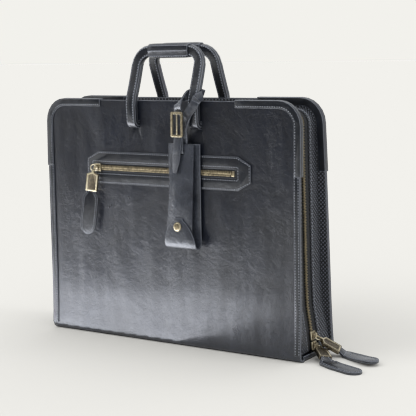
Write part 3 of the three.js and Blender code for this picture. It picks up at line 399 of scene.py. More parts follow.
@dataclass(frozen=True)
class BasketWeave:
    """Coarse woven polyester, lacquered: rows of raised knots, with a painted highlight on each knot and
    painted shade in the hollows between them.
    """

    name: str
    dark: str
    light: str
    knot_mm: float = 3.8
    slant: float = 45
    turn_x: float = 0.179
    turn_z: float = 0.302
    turn_radius: float = 0.025

    def build(self) -> Material:
        """Builds the material.

        Returns:
            The finished material.
        """
        material, tree, shader, place = new_material(self.name)
        along, across = self.unrolled(tree, place)
        rows = add_node(tree, "ShaderNodeCombineXYZ", {"X": along, "Y": across}).outputs[0]
        turned = add_node(
            tree,
            "ShaderNodeMapping",
            {"Vector": rows, "Rotation": (0, 0, math.radians(self.slant))},
        ).outputs[0]
        knots = add_node(
            tree,
            "ShaderNodeTexVoronoi",
            {"Vector": turned, "Scale": per_mm(self.knot_mm), "Randomness": 0.12},
            voronoi_dimensions="2D",
        ).outputs[0]
        crown = add_node(
            tree,
            "ShaderNodeMapRange",
            {"Value": knots, "From Min": 0.12, "From Max": 0.42, "To Min": 1.0, "To Max": 0.0},
        ).outputs[0]
        # Painted light: each knot's top is painted light as a highlight and the hollows between are
        # painted dark as shade
        tone = mix_tones(tree, crown, self.dark, self.light)
        bump = add_bump(tree, crown, 0.8, 0.6)
        tree.links.new(tone, shader.inputs["Base Color"])
        tree.links.new(bump, shader.inputs["Normal"])
        shader.inputs["Roughness"].default_value = 0.42
        return material

    def unrolled(self, tree: Tree, place: Socket) -> tuple[Socket, Socket]:
        """Unrolls the strip that goes up one side, round the corner and along the top.

        Args:
            tree: the material's node tree.
            place: the Object coordinates.

        Returns:
            The distance along the strip and the distance across it.
        """

        def calculate(operation: str, first: object, second: object = 0.0) -> Socket:
            """Adds one step of arithmetic.

            Args:
                operation: the step's kind.
                first: a number or an output.
                second: another one.

            Returns:
                The result.
            """
            step = add_node(tree, "ShaderNodeMath", {0: first, 1: second}, operation=operation)
            return step.outputs[0]

        x, y, z = add_node(tree, "ShaderNodeSeparateXYZ", {0: place}).outputs
        side = calculate("ABSOLUTE", x)
        past_side = calculate("MAXIMUM", calculate("SUBTRACT", side, self.turn_x), 0.0)
        past_top = calculate("MAXIMUM", calculate("SUBTRACT", z, self.turn_z), 0.0)
        turned = calculate("MULTIPLY", calculate("ARCTAN2", past_top, past_side), self.turn_radius)
        up = calculate("MINIMUM", z, self.turn_z)
        straight = calculate("SUBTRACT", up, calculate("MINIMUM", side, self.turn_x))
        out = add_node(tree, "ShaderNodeCombineXYZ", {"X": past_side, "Y": past_top}).outputs[0]
        height = add_node(tree, "ShaderNodeVectorMath", {0: out}, operation="LENGTH").outputs["Value"]
        across = calculate("ADD", calculate("ABSOLUTE", y), height)
        return calculate("ADD", straight, turned), across


@dataclass(frozen=True)
class WaxedThread:
    """Bonded nylon thread, waxed: it catches a small highlight at the crown of each stitch."""

    name: str
    dark: str
    light: str

    def build(self) -> Material:
        """Builds the material.

        Returns:
            The finished material.
        """
        material, tree, shader, place = new_material(self.name)
        twist = add_node(
            tree, "ShaderNodeTexWave", {"Vector": place, "Scale": per_mm(4)}, bands_direction="DIAGONAL"
        ).outputs[1]
        tone = mix_tones(tree, twist, self.dark, self.light)
        tree.links.new(tone, shader.inputs["Base Color"])
        shader.inputs["Roughness"].default_value = 0.42
        return material


@dataclass(frozen=True)
class GlowingCard:
    """Foam board, either lit from behind so that it glows or covered in black flock."""

    name: str
    colour: str
    strength: float
    unevenness: float = 0.3
    cloud_mm: float = 60

    def build(self) -> Material:
        """Builds the material.

        Returns:
            The finished material.
        """
        material, tree, shader, place = new_material(self.name)
        foam = add_node(
            tree,
            "ShaderNodeTexNoise",
            {"Vector": place, "Scale": per_mm(self.cloud_mm), "Detail": 2},
        ).outputs[0]
        glow = add_node(
            tree,
            "ShaderNodeMapRange",
            {
                "Value": foam,
                "To Min": self.strength * (1 - self.unevenness),
                "To Max": self.strength * (1 + self.unevenness),
            },
        ).outputs[0]
        tree.links.new(glow, shader.inputs["Emission Strength"])
        shader.inputs["Base Color"].default_value = linear(self.colour)
        shader.inputs["Emission Color"].default_value = linear(self.colour)
        shader.inputs["Roughness"].default_value = 0.95
        return material


@dataclass(frozen=True)
class PaperFloor:
    """Matt photographic paper, off-white, with the faint mottle of its pulp."""

    name: str
    colour: str
    shadow: str
    pulp_mm: float = 40

    def build(self) -> Material:
        """Builds the material.

        Returns:
            The finished material.
        """
        material, tree, shader, place = new_material(self.name)
        pulp = add_node(
            tree,
            "ShaderNodeTexNoise",
            {"Vector": place, "Scale": per_mm(self.pulp_mm), "Detail": 3},
        ).outputs[0]
        tone = mix_tones(tree, pulp, self.shadow, self.colour)
        tree.links.new(tone, shader.inputs["Base Color"])
        shader.inputs["Roughness"].default_value = 0.9
        shader.inputs["Specular IOR Level"].default_value = 0.0
        return material


PANEL_LEATHER = GlazedLeather(
    "glazed_cowhide_panel", "11141d", "252935", roughness=0.33, drape_depth_mm=8
).build()
TRIM_LEATHER = GlazedLeather(
    "glazed_cowhide_trim", "11141b", "23272f", 0.34, cloud_mm=35, crease_mm=7, crease_depth_mm=0.2
).build()
TAG_LEATHER = GlazedLeather(
    "glazed_cowhide_tag", "2b2e37", "52565f", 0.3, cloud_mm=28, crease_mm=9, crease_depth_mm=0.25
).build()
# The edge colour is paler partly as worn edge paint and partly as a painted highlight on the rounded
# edges
LEATHER_EDGE_WEAR_AND_HIGHLIGHT = CutEdge("cowhide_edge_wear_and_painted_highlight", "5c6069", "8e929b").build()
BRASS = AntiqueBrass("antique_brass_cast", "6c6350", "aa9c7e", 0.4).build()
BRASS_DARK = AntiqueBrass("antique_brass_patina", "48423a", "7c7260", 0.44).build()
BRASS_EDGE = AntiqueBrass("antique_brass_rubbed_edge", "c0b292", "eadfc2", 0.28).build()
TAPE = HerringboneTape("polyester_zip_tape", "0b0c0e", "24262b").build()
THREAD = WaxedThread("waxed_nylon_thread", "7b7f89", "b4b8c0").build()
WEAVE = BasketWeave("lacquered_polyester_weave", "08090b", "767a85").build()


# Mesh helpers

STITCH = Vector((2.5, 1.1, 0.9))
STITCH_LIFT = 0.2
STITCH_PITCH = 3.6 * MM
TO_BACK = Vector((0, 1, 0))
# How far outside the case the points start that are dropped onto a surface, and how far they may fall
OUTSIDE = 0.1
LONGEST_DROP = 0.2
RIM_ABOVE = 3 * MM
RIM_STEP = 2.5 * MM


def copy_node(name: str) -> bmesh.types.BMesh:
    """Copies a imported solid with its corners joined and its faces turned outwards.

    Args:
        name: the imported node.

    Returns:
        The merged copy.
    """
    bm = bmesh.new()
    bm.from_mesh(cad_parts[name].data)
    bmesh.ops.remove_doubles(bm, verts=bm.verts[:], dist=0.01 * MM)
    bmesh.ops.dissolve_degenerate(bm, edges=bm.edges[:], dist=0.005 * MM)
    bmesh.ops.recalc_face_normals(bm, faces=bm.faces[:])
    return bm


def round_edges(
    bm: bmesh.types.BMesh,
    width: float,
    angle: float = 40,
    join_flat: bool = True,
) -> None:
    """Bevels the sharp edges, and gives the narrow new faces the piece's second material.

    Args:
        bm: the mesh.
        width: the bevel's width in millimetres.
        angle: only edges that turn by more degrees than this are rounded.
        join_flat: whether faces that lie in one plane become one face first.
    """
    if join_flat:
        flat = [
            e for e in bm.edges if len(e.link_faces) == 2 and e.calc_face_angle(0) < math.radians(1)
        ]
        bmesh.ops.dissolve_edges(bm, edges=flat, use_verts=False)
    sharp = [
        e for e in bm.edges if len(e.link_faces) == 2 and e.calc_face_angle(0) > math.radians(angle)
    ]
    made = bmesh.ops.bevel(
        bm,
        geom=sharp,
        offset=width * MM,
        affect="EDGES",
        segments=2,
        profile=0.5,
        material=-1,
        clamp_overlap=True,
    )
    for face in made["faces"]:
        face.material_index = 1


def add_piece(
    bm: bmesh.types.BMesh,
    name: str,
    materials: list[Material],
    replaces: list[str] | None = None,
    smooth: float = 40,
) -> bpy.types.Object:
    """Makes a mesh into a piece that rides on the case.

    Args:
        bm: the mesh, which is used up.
        name: the piece's name.
        materials: its materials, in slot order.
        replaces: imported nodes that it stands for.
        smooth: edges that turn by more degrees than this stay sharp.

    Returns:
        The piece.
    """
    mesh = bpy.data.meshes.new(name)
    bm.to_mesh(mesh)
    bm.free()
    mesh.polygons.foreach_set("use_smooth", [True] * len(mesh.polygons))
    mesh.set_sharp_from_angle(angle=math.radians(smooth))
    for material in materials:
        mesh.materials.append(material)
    piece = bpy.data.objects.new(name, mesh)
    bpy.context.scene.collection.objects.link(piece)
    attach(piece, "root")
    if replaces:
        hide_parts(*replaces)
    LOG.info("%s: %d faces", name, len(mesh.polygons))
    return piece


def dress(
    node: str,
    materials: list[Material],
    width: float = 0.35,
    angle: float = 40,
) -> bpy.types.Object:
    """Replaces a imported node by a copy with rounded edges.

    Args:
        node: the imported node.
        materials: the main material and the one of its rounded edges.
        width: the bevel's width in millimetres.
        angle: the least angle of a rounded edge, in degrees.

    Returns:
        The new piece.
    """
    bm = copy_node(node)
    round_edges(bm, width, angle)
    return add_piece(bm, f"{node}_dressed", materials, [node])


def surface_of(piece: bpy.types.Object) -> BVHTree:
    """Gives a piece's faces as a tree, to lay thread on.

    Args:
        piece: the piece.

    Returns:
        The tree.
    """
    mesh = piece.data
    return BVHTree.FromPolygons([v.co for v in mesh.vertices], [p.vertices for p in mesh.polygons])


def spaced(points: list[Vector], pitch: float, closed: bool = False) -> list[Vector]:
    """Sets points at an even pitch along a line.

    Args:
        points: the line's corners.
        pitch: the wanted distance between points, in metres.
        closed: whether the line ends where it starts.

    Returns:
        The middles of equal stretches along the line.
    """
    line = points + [points[0]] if closed else points
    lengths = [(b - a).length for a, b in zip(line, line[1:])]
    count = max(1, round(sum(lengths) / pitch))
    step = sum(lengths) / count
    found = []
    index, passed = 0, 0.0
    for number in range(count):
        target = (number + 0.5) * step
        while passed + lengths[index] < target:
            passed += lengths[index]
            index += 1
        share = (target - passed) / lengths[index]
        found.append(line[index].lerp(line[index + 1], share))
    return found


@dataclass
class Copies:
    """Many copies of one small shape, laid along lines on a surface."""

    shape: bpy.types.Mesh
    bm: bmesh.types.BMesh

    def lay(
        self,
        tree: BVHTree,
        line: list[Vector],
        towards: Vector | list[Vector],
        size: Vector,
        lift: float = 0.0,
        sideways: list[float] | None = None,
    ) -> None:
        """Drops each point of a line onto the surface and puts a copy there, along the line.

        Args:
            tree: the surface.
            line: evenly spaced points off the surface.
            towards: the direction to the surface, for all points or for each.
            size: the copy's length, width and height, in millimetres.
            lift: how far its middle is above the surface, in millimetres.
            sideways: how far each copy in turn is moved across the line, in millimetres.
        """
        hits = []
        for number, point in enumerate(line):
            aim = towards[number] if isinstance(towards, list) else towards
            place, normal, _, _ = tree.ray_cast(point, aim.normalized(), LONGEST_DROP)
            hits.append((place, normal) if place is not None else None)
        for number, hit in enumerate(hits):
            before = hits[max(0, number - 1)]
            after = hits[min(len(hits) - 1, number + 1)]
            if hit is None or before is None or after is None:
                continue
            place, normal = hit
            along = after[0] - before[0]
            along -= normal * along.dot(normal)
            if along.length < 1e-6:
                continue
            along.normalize()
            across = normal.cross(along)
            shift = (sideways[number % len(sideways)] if sideways else 0.0) * MM
            middle = place + normal * lift * MM + across * shift
            turn = Matrix((along, across, normal)).transposed().to_4x4()
            move = Matrix.Translation(middle) @ turn @ Matrix.Diagonal((*(size * MM), 1.0))
            self.shape.transform(move)
            self.bm.from_mesh(self.shape)
            self.shape.transform(move.inverted())


def stitches() -> Copies:
    """Starts a set of stitches, each an oval bead one unit long, wide and high.

    Returns:
        The set, with nothing laid yet.
    """
    bm = bmesh.new()
    lying = Matrix.Rotation(math.pi / 2, 4, "Y")
    bmesh.ops.create_uvsphere(bm, u_segments=6, v_segments=4, radius=0.5, matrix=lying)
    shape = bpy.data.meshes.new("stitch")
    bm.to_mesh(shape)
    bm.free()
    return Copies(shape, bmesh.new())


def teeth() -> Copies:
    """Starts a set of zip teeth, each a block one unit long, wide and high with broken edges.

    Returns:
        The set, with nothing laid yet.
    """
    bm = bmesh.new()
    bmesh.ops.create_cube(bm, size=1)
    bmesh.ops.bevel(
        bm,
        geom=bm.edges[:],
        offset=0.16,
        affect="EDGES",
        segments=1,
        profile=0.5,
        material=-1,
        clamp_overlap=True,
    )
    shape = bpy.data.meshes.new("tooth")
    bm.to_mesh(shape)
    bm.free()
    return Copies(shape, bmesh.new())


def rim_line(piece: bpy.types.Object, up: Vector, inset: float) -> list[Vector]:
    """Traces the outline of a piece's top face, moved in from its edge.

    Args:
        piece: the piece.
        up: the direction that its top face looks.
        inset: how far inside the edge the line runs, in millimetres.

    Returns:
        The line's points in order, a little above the face.
    """
    bm = bmesh.new()
    bm.from_mesh(piece.data)
    top = {f for f in bm.faces if f.normal.dot(up) > 0.75}
    edges = [e for e in bm.edges if sum(f in top for f in e.link_faces) == 1]
    links: dict[bmesh.types.BMVert, list[bmesh.types.BMVert]] = {}
    for edge in edges:
        a, b = edge.verts
        links.setdefault(a, []).append(b)
        links.setdefault(b, []).append(a)
    loops = []
    # A dict keeps its order, so each run starts its loops at the same corners
    left = dict.fromkeys(links)
    while left:
        loop = [left.popitem()[0]]
        while True:
            following = [v for v in links[loop[-1]] if v in left]
            if not following:
                break
            loop.append(following[0])
            del left[following[0]]
        loops.append([v.co.copy() for v in loop])
    bm.free()
    line = max(loops, key=lambda points: sum((b - a).length for a, b in zip(points, points[1:])))
    line = spaced(line, RIM_STEP, closed=True)
    middle = sum(line, Vector()) / len(line)
    wedges = ((a - middle).cross(b - middle) for a, b in zip(line, line[1:] + line[:1]))
    area = sum(wedges, Vector()).dot(up)
    moved = []
    for number, point in enumerate(line):
        run = line[(number + 2) % len(line)] - line[number - 2]
        inwards = up.cross(run).normalized() * (1 if area > 0 else -1)
        moved.append(point + inwards * inset * MM + up * RIM_ABOVE)
    return moved


@dataclass
class Outline:
    """The edge of the case's panels, seen from the front."""

    half_width: float = 0.210
    height: float = 0.333
    corner: float = 0.031

    @property
    def top(self) -> float:
        """The length of the straight half of the top edge."""
        return self.half_width - self.corner

    @property
    def turn_end(self) -> float:
        """Where the round corner ends, measured along the edge from the middle of the top."""
        return self.top + self.corner * math.pi / 2

    @property
    def end(self) -> float:
        """Where the edge reaches the ground."""
        return self.turn_end + self.height - self.corner

    def at(self, side: int, distance: float) -> tuple[Vector, Vector]:
        """Finds a point of the edge.

        Args:
            side: 1 for the right half, -1 for the left.
            distance: how far along the edge it is, from the middle of the top.

        Returns:
            The point, and the direction into the panel.
        """
        if distance <= self.top:
            return Vector((side * distance, 0, self.height)), Vector((0, 0, -1))
        if distance <= self.turn_end:
            angle = (distance - self.top) / self.corner
            middle = Vector((side * self.top, 0, self.height - self.corner))
            out = Vector((side * math.sin(angle), 0, math.cos(angle)))
            return middle + out * self.corner, -out
        height = self.height - self.corner - (distance - self.turn_end)
        return Vector((side * self.half_width, 0, height)), Vector((-side, 0, 0))

    def run(
        self, side: int, start: float, end: float, step: float = 0.004
    ) -> list[tuple[Vector, Vector]]:
        """Gives evenly spaced points of the edge between two distances.

        Args:
            side: 1 for the right half, -1 for the left.
            start: the first distance from the middle of the top.
            end: the last one.
            step: the wanted space between points.

        Returns:
            The points, each with the direction into the panel.
        """
        count = max(2, round((end - start) / step))
        return [self.at(side, start + (end - start) * i / count) for i in range(count + 1)]


OUTLINE = Outline()


# Sub-assemblies


@dataclass
class Shell:
    """The panels, the base, the folded gusset and the bindings."""

    edge_round: float = 0.45
    corner_start: float = 0.1145
    binding_end: float = 0.2906
    corner_inset: float = 6.4
    side_width: float = 9.2
    side_inset: float = 1.9
    gusset_row: float = 0.0162
    gusset_gap: float = 0.012
    foot_gap: float = 0.010
    relax_step: float = 9
    relax_rounds: int = 14
    flatness: float = 0.9
    pucker_depth: float = 1.3
    pucker_radius: float = 4.5
    puckers: tuple[tuple[float, float], ...] = ((0.0425, 0.2925), (0.0615, 0.2940))

    def build(self) -> None:
        """Builds the panels, the gusset and the bindings with their thread."""
        thread = stitches()
        for node in ("front_panel", "back_panel"):
            bm = copy_node(node)
            self.relax(bm)
            round_edges(bm, self.edge_round, 55, join_flat=False)
            add_piece(bm, f"{node}_dressed", [PANEL_LEATHER, LEATHER_EDGE_WEAR_AND_HIGHLIGHT], [node])
        dress("base_panel", [PANEL_LEATHER, LEATHER_EDGE_WEAR_AND_HIGHLIGHT], self.edge_round, 55)
        for place, sign in (("front", -1), ("back", 1)):
            gusset = dress(f"gusset_{place}", [WEAVE, WEAVE], 0.4, 50)
            self.sew_gusset(thread, surface_of(gusset), sign)
            for hand, side in (("left", -1), ("right", 1)):
                trim = [TRIM_LEATHER, LEATHER_EDGE_WEAR_AND_HIGHLIGHT]
                corner = dress(f"corner_binding_{place}_{hand}", trim, 0.4, 50)
                strip = dress(f"side_binding_{place}_{hand}", trim, 0.3, 50)
                self.sew_bindings(thread, surface_of(corner), surface_of(strip), side, sign)
        add_piece(thread.bm, "shell_stitching", [THREAD], smooth=80)

    def relax(self, bm: bmesh.types.BMesh) -> None:
        """Divides a panel's faces and eases them, so that its dents run into each other softly.

        Args:
            bm: the panel.
        """
        faces = {f for f in bm.faces if abs(f.normal.y) > self.flatness}
        inner = [
            e for e in bm.edges if len(e.link_faces) == 2 and all(f in faces for f in e.link_faces)
        ]
        long_edges = [e for e in inner if e.calc_length() > self.relax_step * MM]
        bmesh.ops.subdivide_edges(bm, edges=long_edges, cuts=2, use_grid_fill=True)
        bmesh.ops.triangulate(bm, faces=[f for f in bm.faces if len(f.verts) > 4])
        bm.normal_update()
        soft = [v for v in bm.verts if all(abs(f.normal.y) > self.flatness for f in v.link_faces)]
        for _ in range(self.relax_rounds):
            bmesh.ops.smooth_vert(
                bm, verts=soft, factor=0.5, use_axis_x=False, use_axis_y=True, use_axis_z=False
            )
        # The handles pull at the leather beside the foot of each slit
        for vert in soft:
            out = math.copysign(self.pucker_depth * MM, vert.co.y)
            for x, z in self.puckers:
                away = math.hypot(abs(vert.co.x) - x, vert.co.z - z) / (self.pucker_radius * MM)
                vert.co.y += out * math.exp(-away * away)

    def sew_gusset(self, thread: Copies, tree: BVHTree, sign: int) -> None:
        """Sews the row that holds the gusset to the zip's tape.

        Args:
            thread: the stitches.
            tree: the gusset's faces.
            sign: -1 for the front gusset, 1 for the back one.
        """
        end = OUTLINE.end - self.gusset_gap
        run = OUTLINE.run(-1, 0, end)[::-1] + OUTLINE.run(1, 0, end)[1:]
        line = [Vector((p.x, sign * self.gusset_row, p.z)) for p, _ in run]
        thread.lay(tree, line, [d for _, d in run], STITCH, STITCH_LIFT)

    def sew_bindings(
        self, thread: Copies, corner: BVHTree, strip: BVHTree, side: int, sign: int
    ) -> None:
        """Sews one corner binding and the edge binding under it.

        Args:
            thread: the stitches.
            corner: the corner binding's faces.
            strip: the edge binding's faces.
            side: 1 for the right, -1 for the left.
            sign: -1 for the front, 1 for the back.
        """
        aim = Vector((0, -sign, 0))
        away = Vector((0, sign * OUTSIDE, 0))
        run = OUTLINE.run(side, self.corner_start, self.binding_end)
        line = [p + d * self.corner_inset * MM + away for p, d in run]
        thread.lay(corner, spaced(line, STITCH_PITCH), aim, STITCH, STITCH_LIFT)
        run = OUTLINE.run(side, self.binding_end, OUTLINE.end - self.foot_gap)
        for inset in (self.side_inset, self.side_width - self.side_inset):
            line = [p + d * inset * MM + away for p, d in run]
            thread.lay(strip, spaced(line, STITCH_PITCH), aim, STITCH, STITCH_LIFT)


@dataclass
class MainZip:
    """The long zip round the sides and the top: two tapes and two rows of teeth that mesh."""

    pitch: float = 1.8
    tooth: Vector = Vector((1.7, 4.2, 2.3))
    offset: float = 1.3
    end_gap: float = 0.009

    def build(self) -> None:
        """Builds the tapes and the chain."""
        for node in ("zip_tape_front", "zip_tape_back"):
            add_piece(copy_node(node), f"{node}_cloth", [TAPE], [node])
        chain = teeth()
        solid = copy_node("zip_teeth")
        tree = BVHTree.FromBMesh(solid)
        solid.free()
        for side in (-1, 1):
            run = OUTLINE.run(side, 0, OUTLINE.end - self.end_gap, self.pitch * MM)
            line = [p for p, _ in run]
            inwards = [d for _, d in run]
            rows = [-self.offset, self.offset]
            chain.lay(tree, line, inwards, self.tooth, -self.tooth.z / 2, rows)
        add_piece(chain.bm, "zip_chain", [BRASS], ["zip_teeth"], smooth=30)


@dataclass
class Handles:
    """Two rounded handles of thick strap, with sewn sleeves for the hand."""

    leg: float = 0.052
    reach: float = 0.0050
    foot: float = 0.3045
    top: float = 0.399
    corner: float = 0.019
    sleeve_end: float = 0.034
    sleeve_row: float = 0.3915
    sleeve_half: float = 0.031
    corner_steps: int = 8

    def line(self, side: int, offset: float) -> list[Vector]:
        """Traces one sewn row up a leg and round to the sleeve.

        Args:
            side: 1 for the right leg, -1 for the left.
            offset: how far outside the strap's middle the row is.

        Returns:
            The row's points in the middle sheet of the case.
        """
        radius = self.corner + offset
        middle = Vector((self.leg - self.corner, 0, self.top - self.corner))
        points = [Vector((self.leg + offset, 0, self.foot))]
        for step in range(self.corner_steps + 1):
            angle = step / self.corner_steps * math.pi / 2
            points.append(middle + Vector((math.cos(angle), 0, math.sin(angle))) * radius)
        points.append(Vector((self.sleeve_end, 0, self.top + offset)))
        return [Vector((side * p.x, p.y, p.z)) for p in points if p.x >= self.sleeve_end - 1e-6]

    def build(self) -> None:
        """Builds both handles and their thread."""
        thread = stitches()
        for place, sign in (("front", -1), ("back", 1)):
            strap = dress(f"handle_{place}", [TRIM_LEATHER, LEATHER_EDGE_WEAR_AND_HIGHLIGHT], 0.5, 30)
            sleeve = dress(f"grip_{place}", [PANEL_LEATHER, LEATHER_EDGE_WEAR_AND_HIGHLIGHT], 0.5, 44)
            strap_tree, sleeve_tree = surface_of(strap), surface_of(sleeve)
            outside = Vector((0, sign * OUTSIDE, 0))
            inwards = Vector((0, -sign, 0))
            for side in (-1, 1):
                for offset in (-self.reach, self.reach):
                    line = spaced(self.line(side, offset), STITCH_PITCH)
                    thread.lay(strap_tree, [p + outside for p in line], inwards, STITCH, STITCH_LIFT)
                    thread.lay(strap_tree, line, -inwards, STITCH, STITCH_LIFT)
            ends = [Vector((side * self.sleeve_half, 0, self.sleeve_row)) for side in (-1, 1)]
            line = spaced(ends, STITCH_PITCH)
            thread.lay(sleeve_tree, [p + outside for p in line], inwards, STITCH, STITCH_LIFT)
        add_piece(thread.bm, "handle_stitching", [THREAD], smooth=80)


@dataclass
class FrontPocket:
    """The sewn leather frame on the front, with its zip."""

    centre: float = 0.2393
    half_end: float = 0.1352
    half_top: float = 0.1161
    half_height: float = 0.0205
    half_side: float = 0.0112
    mouth_left: float = -0.1270
    mouth_right: float = 0.1180
    mouth_row: float = 0.0087
    teeth_left: float = -0.1215
    teeth_right: float = 0.1095
    pitch: float = 1.35
    tooth: Vector = Vector((1.8, 4.2, 1.9))
    offset: float = 1.35

    def build(self) -> None:
        """Builds the frame, the tape, the chain and the stop."""
        thread = stitches()
        facing = dress("pocket_facing", [TRIM_LEATHER, LEATHER_EDGE_WEAR_AND_HIGHLIGHT], 0.35, 50)
        tree = surface_of(facing)
        z = self.centre
        outer = [
            (-self.half_top, z + self.half_height),
            (self.half_top, z + self.half_height),
            (self.half_end, z + self.half_side),
            (self.half_end, z - self.half_side),
            (self.half_top, z - self.half_height),
            (-self.half_top, z - self.half_height),
            (-self.half_end, z - self.half_side),
            (-self.half_end, z + self.half_side),
        ]
        inner = [
            (self.mouth_left, z + self.mouth_row),
            (self.mouth_right, z + self.mouth_row),
            (self.mouth_right, z - self.mouth_row),
            (self.mouth_left, z - self.mouth_row),
        ]
        for loop in (outer, inner):
            points = [Vector((x, -OUTSIDE, up)) for x, up in loop]
            line = spaced(points, STITCH_PITCH, closed=True)
            thread.lay(tree, line, TO_BACK, STITCH, STITCH_LIFT)
        add_piece(thread.bm, "pocket_stitching", [THREAD], smooth=80)
        add_piece(copy_node("pocket_tape"), "pocket_tape_cloth", [TAPE], ["pocket_tape"])
        chain = teeth()
        solid = copy_node("pocket_teeth")
        strip = BVHTree.FromBMesh(solid)
        solid.free()
        ends = [Vector((x, -OUTSIDE, z)) for x in (self.teeth_left, self.teeth_right)]
        rows = [-self.offset, self.offset]
        line = spaced(ends, self.pitch * MM)
        chain.lay(strip, line, TO_BACK, self.tooth, -self.tooth.z / 2, rows)
        add_piece(chain.bm, "pocket_chain", [BRASS], ["pocket_teeth"], smooth=30)
        dress("pocket_stop", [BRASS, BRASS_EDGE], 0.3)


@dataclass
class ZipPull:
    """One slider with its link, its brass pull and the leather tab clamped in the pull's foot."""

    name: str
    tab_up: Vector
    tab_inset: float = 2.2
    rim: float = 1.5
    sunk: float = 0.35
    closeness: float = 0.8
    fineness: float = 0.85

    def build(self) -> None:
        """Builds the slider, the link, the pull and the tab."""
        dress(f"{self.name}_slider", [BRASS, BRASS_EDGE], 0.4, 25)
        self.build_plate()
        node = f"{self.name}_link"
        link = add_piece(copy_node(node), f"{node}_wire", [BRASS_EDGE], [node])
        rounder = link.modifiers.new("round", "SUBSURF")
        rounder.levels = 1
        rounder.render_levels = 1
        tab = dress(f"{self.name}_tab", [TRIM_LEATHER, LEATHER_EDGE_WEAR_AND_HIGHLIGHT], 0.55, 40)
        thread = stitches()
        rim = rim_line(tab, self.tab_up, self.tab_inset)
        line = spaced(rim, STITCH_PITCH * self.closeness, closed=True)
        thread.lay(surface_of(tab), line, -self.tab_up, STITCH * self.fineness, STITCH_LIFT)
        add_piece(thread.bm, f"{self.name}_tab_stitching", [THREAD], smooth=80)

    def build_plate(self) -> None:
        """Builds the pull's plate, with a bright rim round a panel that is sunk into each face."""
        node = f"{self.name}_pull"
        bm = copy_node(node)
        round_edges(bm, 0.4, 25)
        bm.faces.ensure_lookup_table()
        for face in sorted(bm.faces, key=lambda f: -f.calc_area())[:2]:
            rim = bmesh.ops.inset_region(
                bm,
                faces=[face],
                thickness=self.rim * MM,
                depth=-self.sunk * MM,
                use_even_offset=True,
            )
            for side in rim["faces"]:
                side.material_index = 1
        add_piece(bm, f"{node}_plate", [BRASS_DARK, BRASS_EDGE], [node], smooth=30)


@dataclass
class HangingTag:
    """The folded leather tag, its strap round the handle's leg, its buckle and its snap."""

    leaf_round: float = 0.4
    strap_round: float = 0.3
    brass_round: float = 0.35

    def build(self) -> None:
        """Builds the leaves, the strap and the brass."""
        leather = [TAG_LEATHER, LEATHER_EDGE_WEAR_AND_HIGHLIGHT]
        for node in ("tag_back_leaf", "tag_front_leaf"):
            dress(node, leather, self.leaf_round, 50)
        dress("tag_strap", leather, self.strap_round, 50)
        for node in ("tag_buckle", "tag_prong", "tag_snap"):
            dress(node, [BRASS, BRASS_EDGE], self.brass_round, 30)


# Studio


class Lamp(Enum):
    """The studio's soft lights: place, aim, size in metres and power in watts."""

    KEY = ((-1.3, -1.5, 2.1), (0, 0, 0.1), 1.6, 18)
    SIDE = ((2.2, 0.4, 1.2), (0.1, 0, 0.15), 1.0, 10)
    TOP = ((0, 0.3, 2.6), (0, 0, 0), 2.0, 14)


class Card(Enum):
    """The cards: place, half width, half height, whether it lies down, colour and glow."""

    TABLE = ((-0.79, -0.205, 0.002), 0.80, 0.155, True, "f4f7ff", 5.6)
    LEFT = ((-1.25, -0.75, 0.50), 0.30, 0.50, False, "ffffff", 0.25)
    DARK = ((-1.3, -1.75, 1.0), 2.2, 1.0, False, "101114", 0.0)


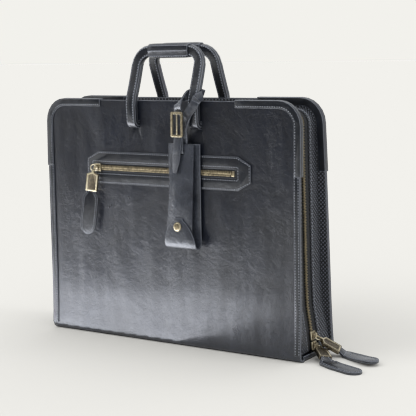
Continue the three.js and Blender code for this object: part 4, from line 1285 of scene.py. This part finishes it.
@dataclass
class Studio:
    """The paper floor, the soft lights, the cards for the gloss and the camera."""

    eye: Vector = Vector((1.013, -1.369, 0.439))
    yaw: float = 35.30
    pitch: float = 8.59
    roll: float = -2.01
    focal_pixels: float = 1250
    image_pixels: float = 416
    sensor_mm: float = 36
    nearest: float = 0.01
    floor_half: float = 9
    background: str = "f2f1ec"
    air: str = "eef1f6"
    air_strength: float = 0.75

    def build(self) -> None:
        """Builds the studio."""
        self.place_camera()
        self.lay_floor()
        self.hang_cards()
        self.light()

    def place_camera(self) -> None:
        """Sets the camera at the photograph's angle."""
        yaw, pitch, roll = (math.radians(a) for a in (self.yaw, self.pitch, self.roll))
        level = Vector((math.cos(yaw), math.sin(yaw), 0))
        forward = Vector((-math.sin(yaw), math.cos(yaw), 0))
        ahead = forward * math.cos(pitch) - Vector((0, 0, math.sin(pitch)))
        upright = level.cross(ahead)
        right = level * math.cos(roll) + upright * math.sin(roll)
        up = upright * math.cos(roll) - level * math.sin(roll)
        data = bpy.data.cameras.new("camera")
        data.sensor_width = self.sensor_mm
        data.lens = self.sensor_mm * self.focal_pixels / self.image_pixels
        data.clip_start = self.nearest
        camera = bpy.data.objects.new("camera", data)
        turn = Matrix((right, up, -ahead)).transposed().to_4x4()
        camera.matrix_world = Matrix.Translation(self.eye) @ turn
        bpy.context.scene.collection.objects.link(camera)
        bpy.context.scene.camera = camera

    def lay_floor(self) -> None:
        """Lays the floor under the case; it shows only the shadows on it."""
        bm = bmesh.new()
        bmesh.ops.create_grid(bm, x_segments=2, y_segments=2, size=self.floor_half)
        mesh = bpy.data.meshes.new("paper_floor")
        bm.to_mesh(mesh)
        bm.free()
        mesh.materials.append(PaperFloor("matt_paper", "f4f3ef", "f1f0eb").build())
        floor = bpy.data.objects.new("paper_floor", mesh)
        floor.is_shadow_catcher = True
        bpy.context.scene.collection.objects.link(floor)

    def hang_cards(self) -> None:
        """Stands the cards that the gloss mirrors round the case; only reflections see them."""
        for card in Card:
            place, half_width, half_height, lies, colour, strength = card.value
            bm = bmesh.new()
            bmesh.ops.create_grid(bm, x_segments=1, y_segments=1, size=1)
            bmesh.ops.scale(bm, vec=Vector((half_width, half_height, 1)), verts=bm.verts)
            if not lies:
                facing = Vector((place[0], place[1], 0)).to_track_quat("-Z", "Y").to_matrix()
                bmesh.ops.rotate(bm, cent=Vector(), matrix=facing, verts=bm.verts)
            bmesh.ops.translate(bm, vec=Vector(place), verts=bm.verts)
            name = f"{card.name.lower()}_card"
            mesh = bpy.data.meshes.new(name)
            bm.to_mesh(mesh)
            bm.free()
            mesh.materials.append(GlowingCard(f"{name}_foam_board", colour, strength).build())
            piece = bpy.data.objects.new(name, mesh)
            piece.visible_camera = False
            piece.visible_shadow = False
            piece.visible_diffuse = False
            bpy.context.scene.collection.objects.link(piece)

    def light(self) -> None:
        """Hangs the lamps and sets the pale surroundings."""
        for lamp in Lamp:
            place, aim, size, power = lamp.value
            data = bpy.data.lights.new(lamp.name.lower(), "AREA")
            data.size = size
            data.energy = power
            light = bpy.data.objects.new(lamp.name.lower(), data)
            light.location = place
            facing = (Vector(aim) - Vector(place)).to_track_quat("-Z", "Y")
            light.rotation_euler = facing.to_euler()
            bpy.context.scene.collection.objects.link(light)
        world = bpy.data.worlds.new("studio")
        world.use_nodes = True
        tree = world.node_tree
        tree.nodes.clear()
        seen = add_node(
            tree, "ShaderNodeBackground", {"Color": linear(self.background), "Strength": 1.0}
        )
        lit = add_node(
            tree, "ShaderNodeBackground", {"Color": linear(self.air), "Strength": self.air_strength}
        )
        path = add_node(tree, "ShaderNodeLightPath").outputs["Is Camera Ray"]
        both = add_node(tree, "ShaderNodeMixShader", {0: path, 1: lit.outputs[0], 2: seen.outputs[0]})
        add_node(tree, "ShaderNodeOutputWorld", {"Surface": both.outputs[0]})
        bpy.context.scene.world = world
        bpy.context.scene.view_settings.view_transform = "Standard"


def main() -> None:
    """Builds the whole case and its studio."""
    logging.basicConfig(level=logging.INFO, format="%(message)s")
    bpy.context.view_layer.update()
    Studio().build()
    Shell().build()
    MainZip().build()
    Handles().build()
    FrontPocket().build()
    ZipPull("pocket", Vector((0, -1, 0))).build()
    ZipPull("upper", Vector((0, 0, 1))).build()
    ZipPull("lower", Vector((0, 0, 1))).build()
    HangingTag().build()


if __name__ == "__main__":
    main()
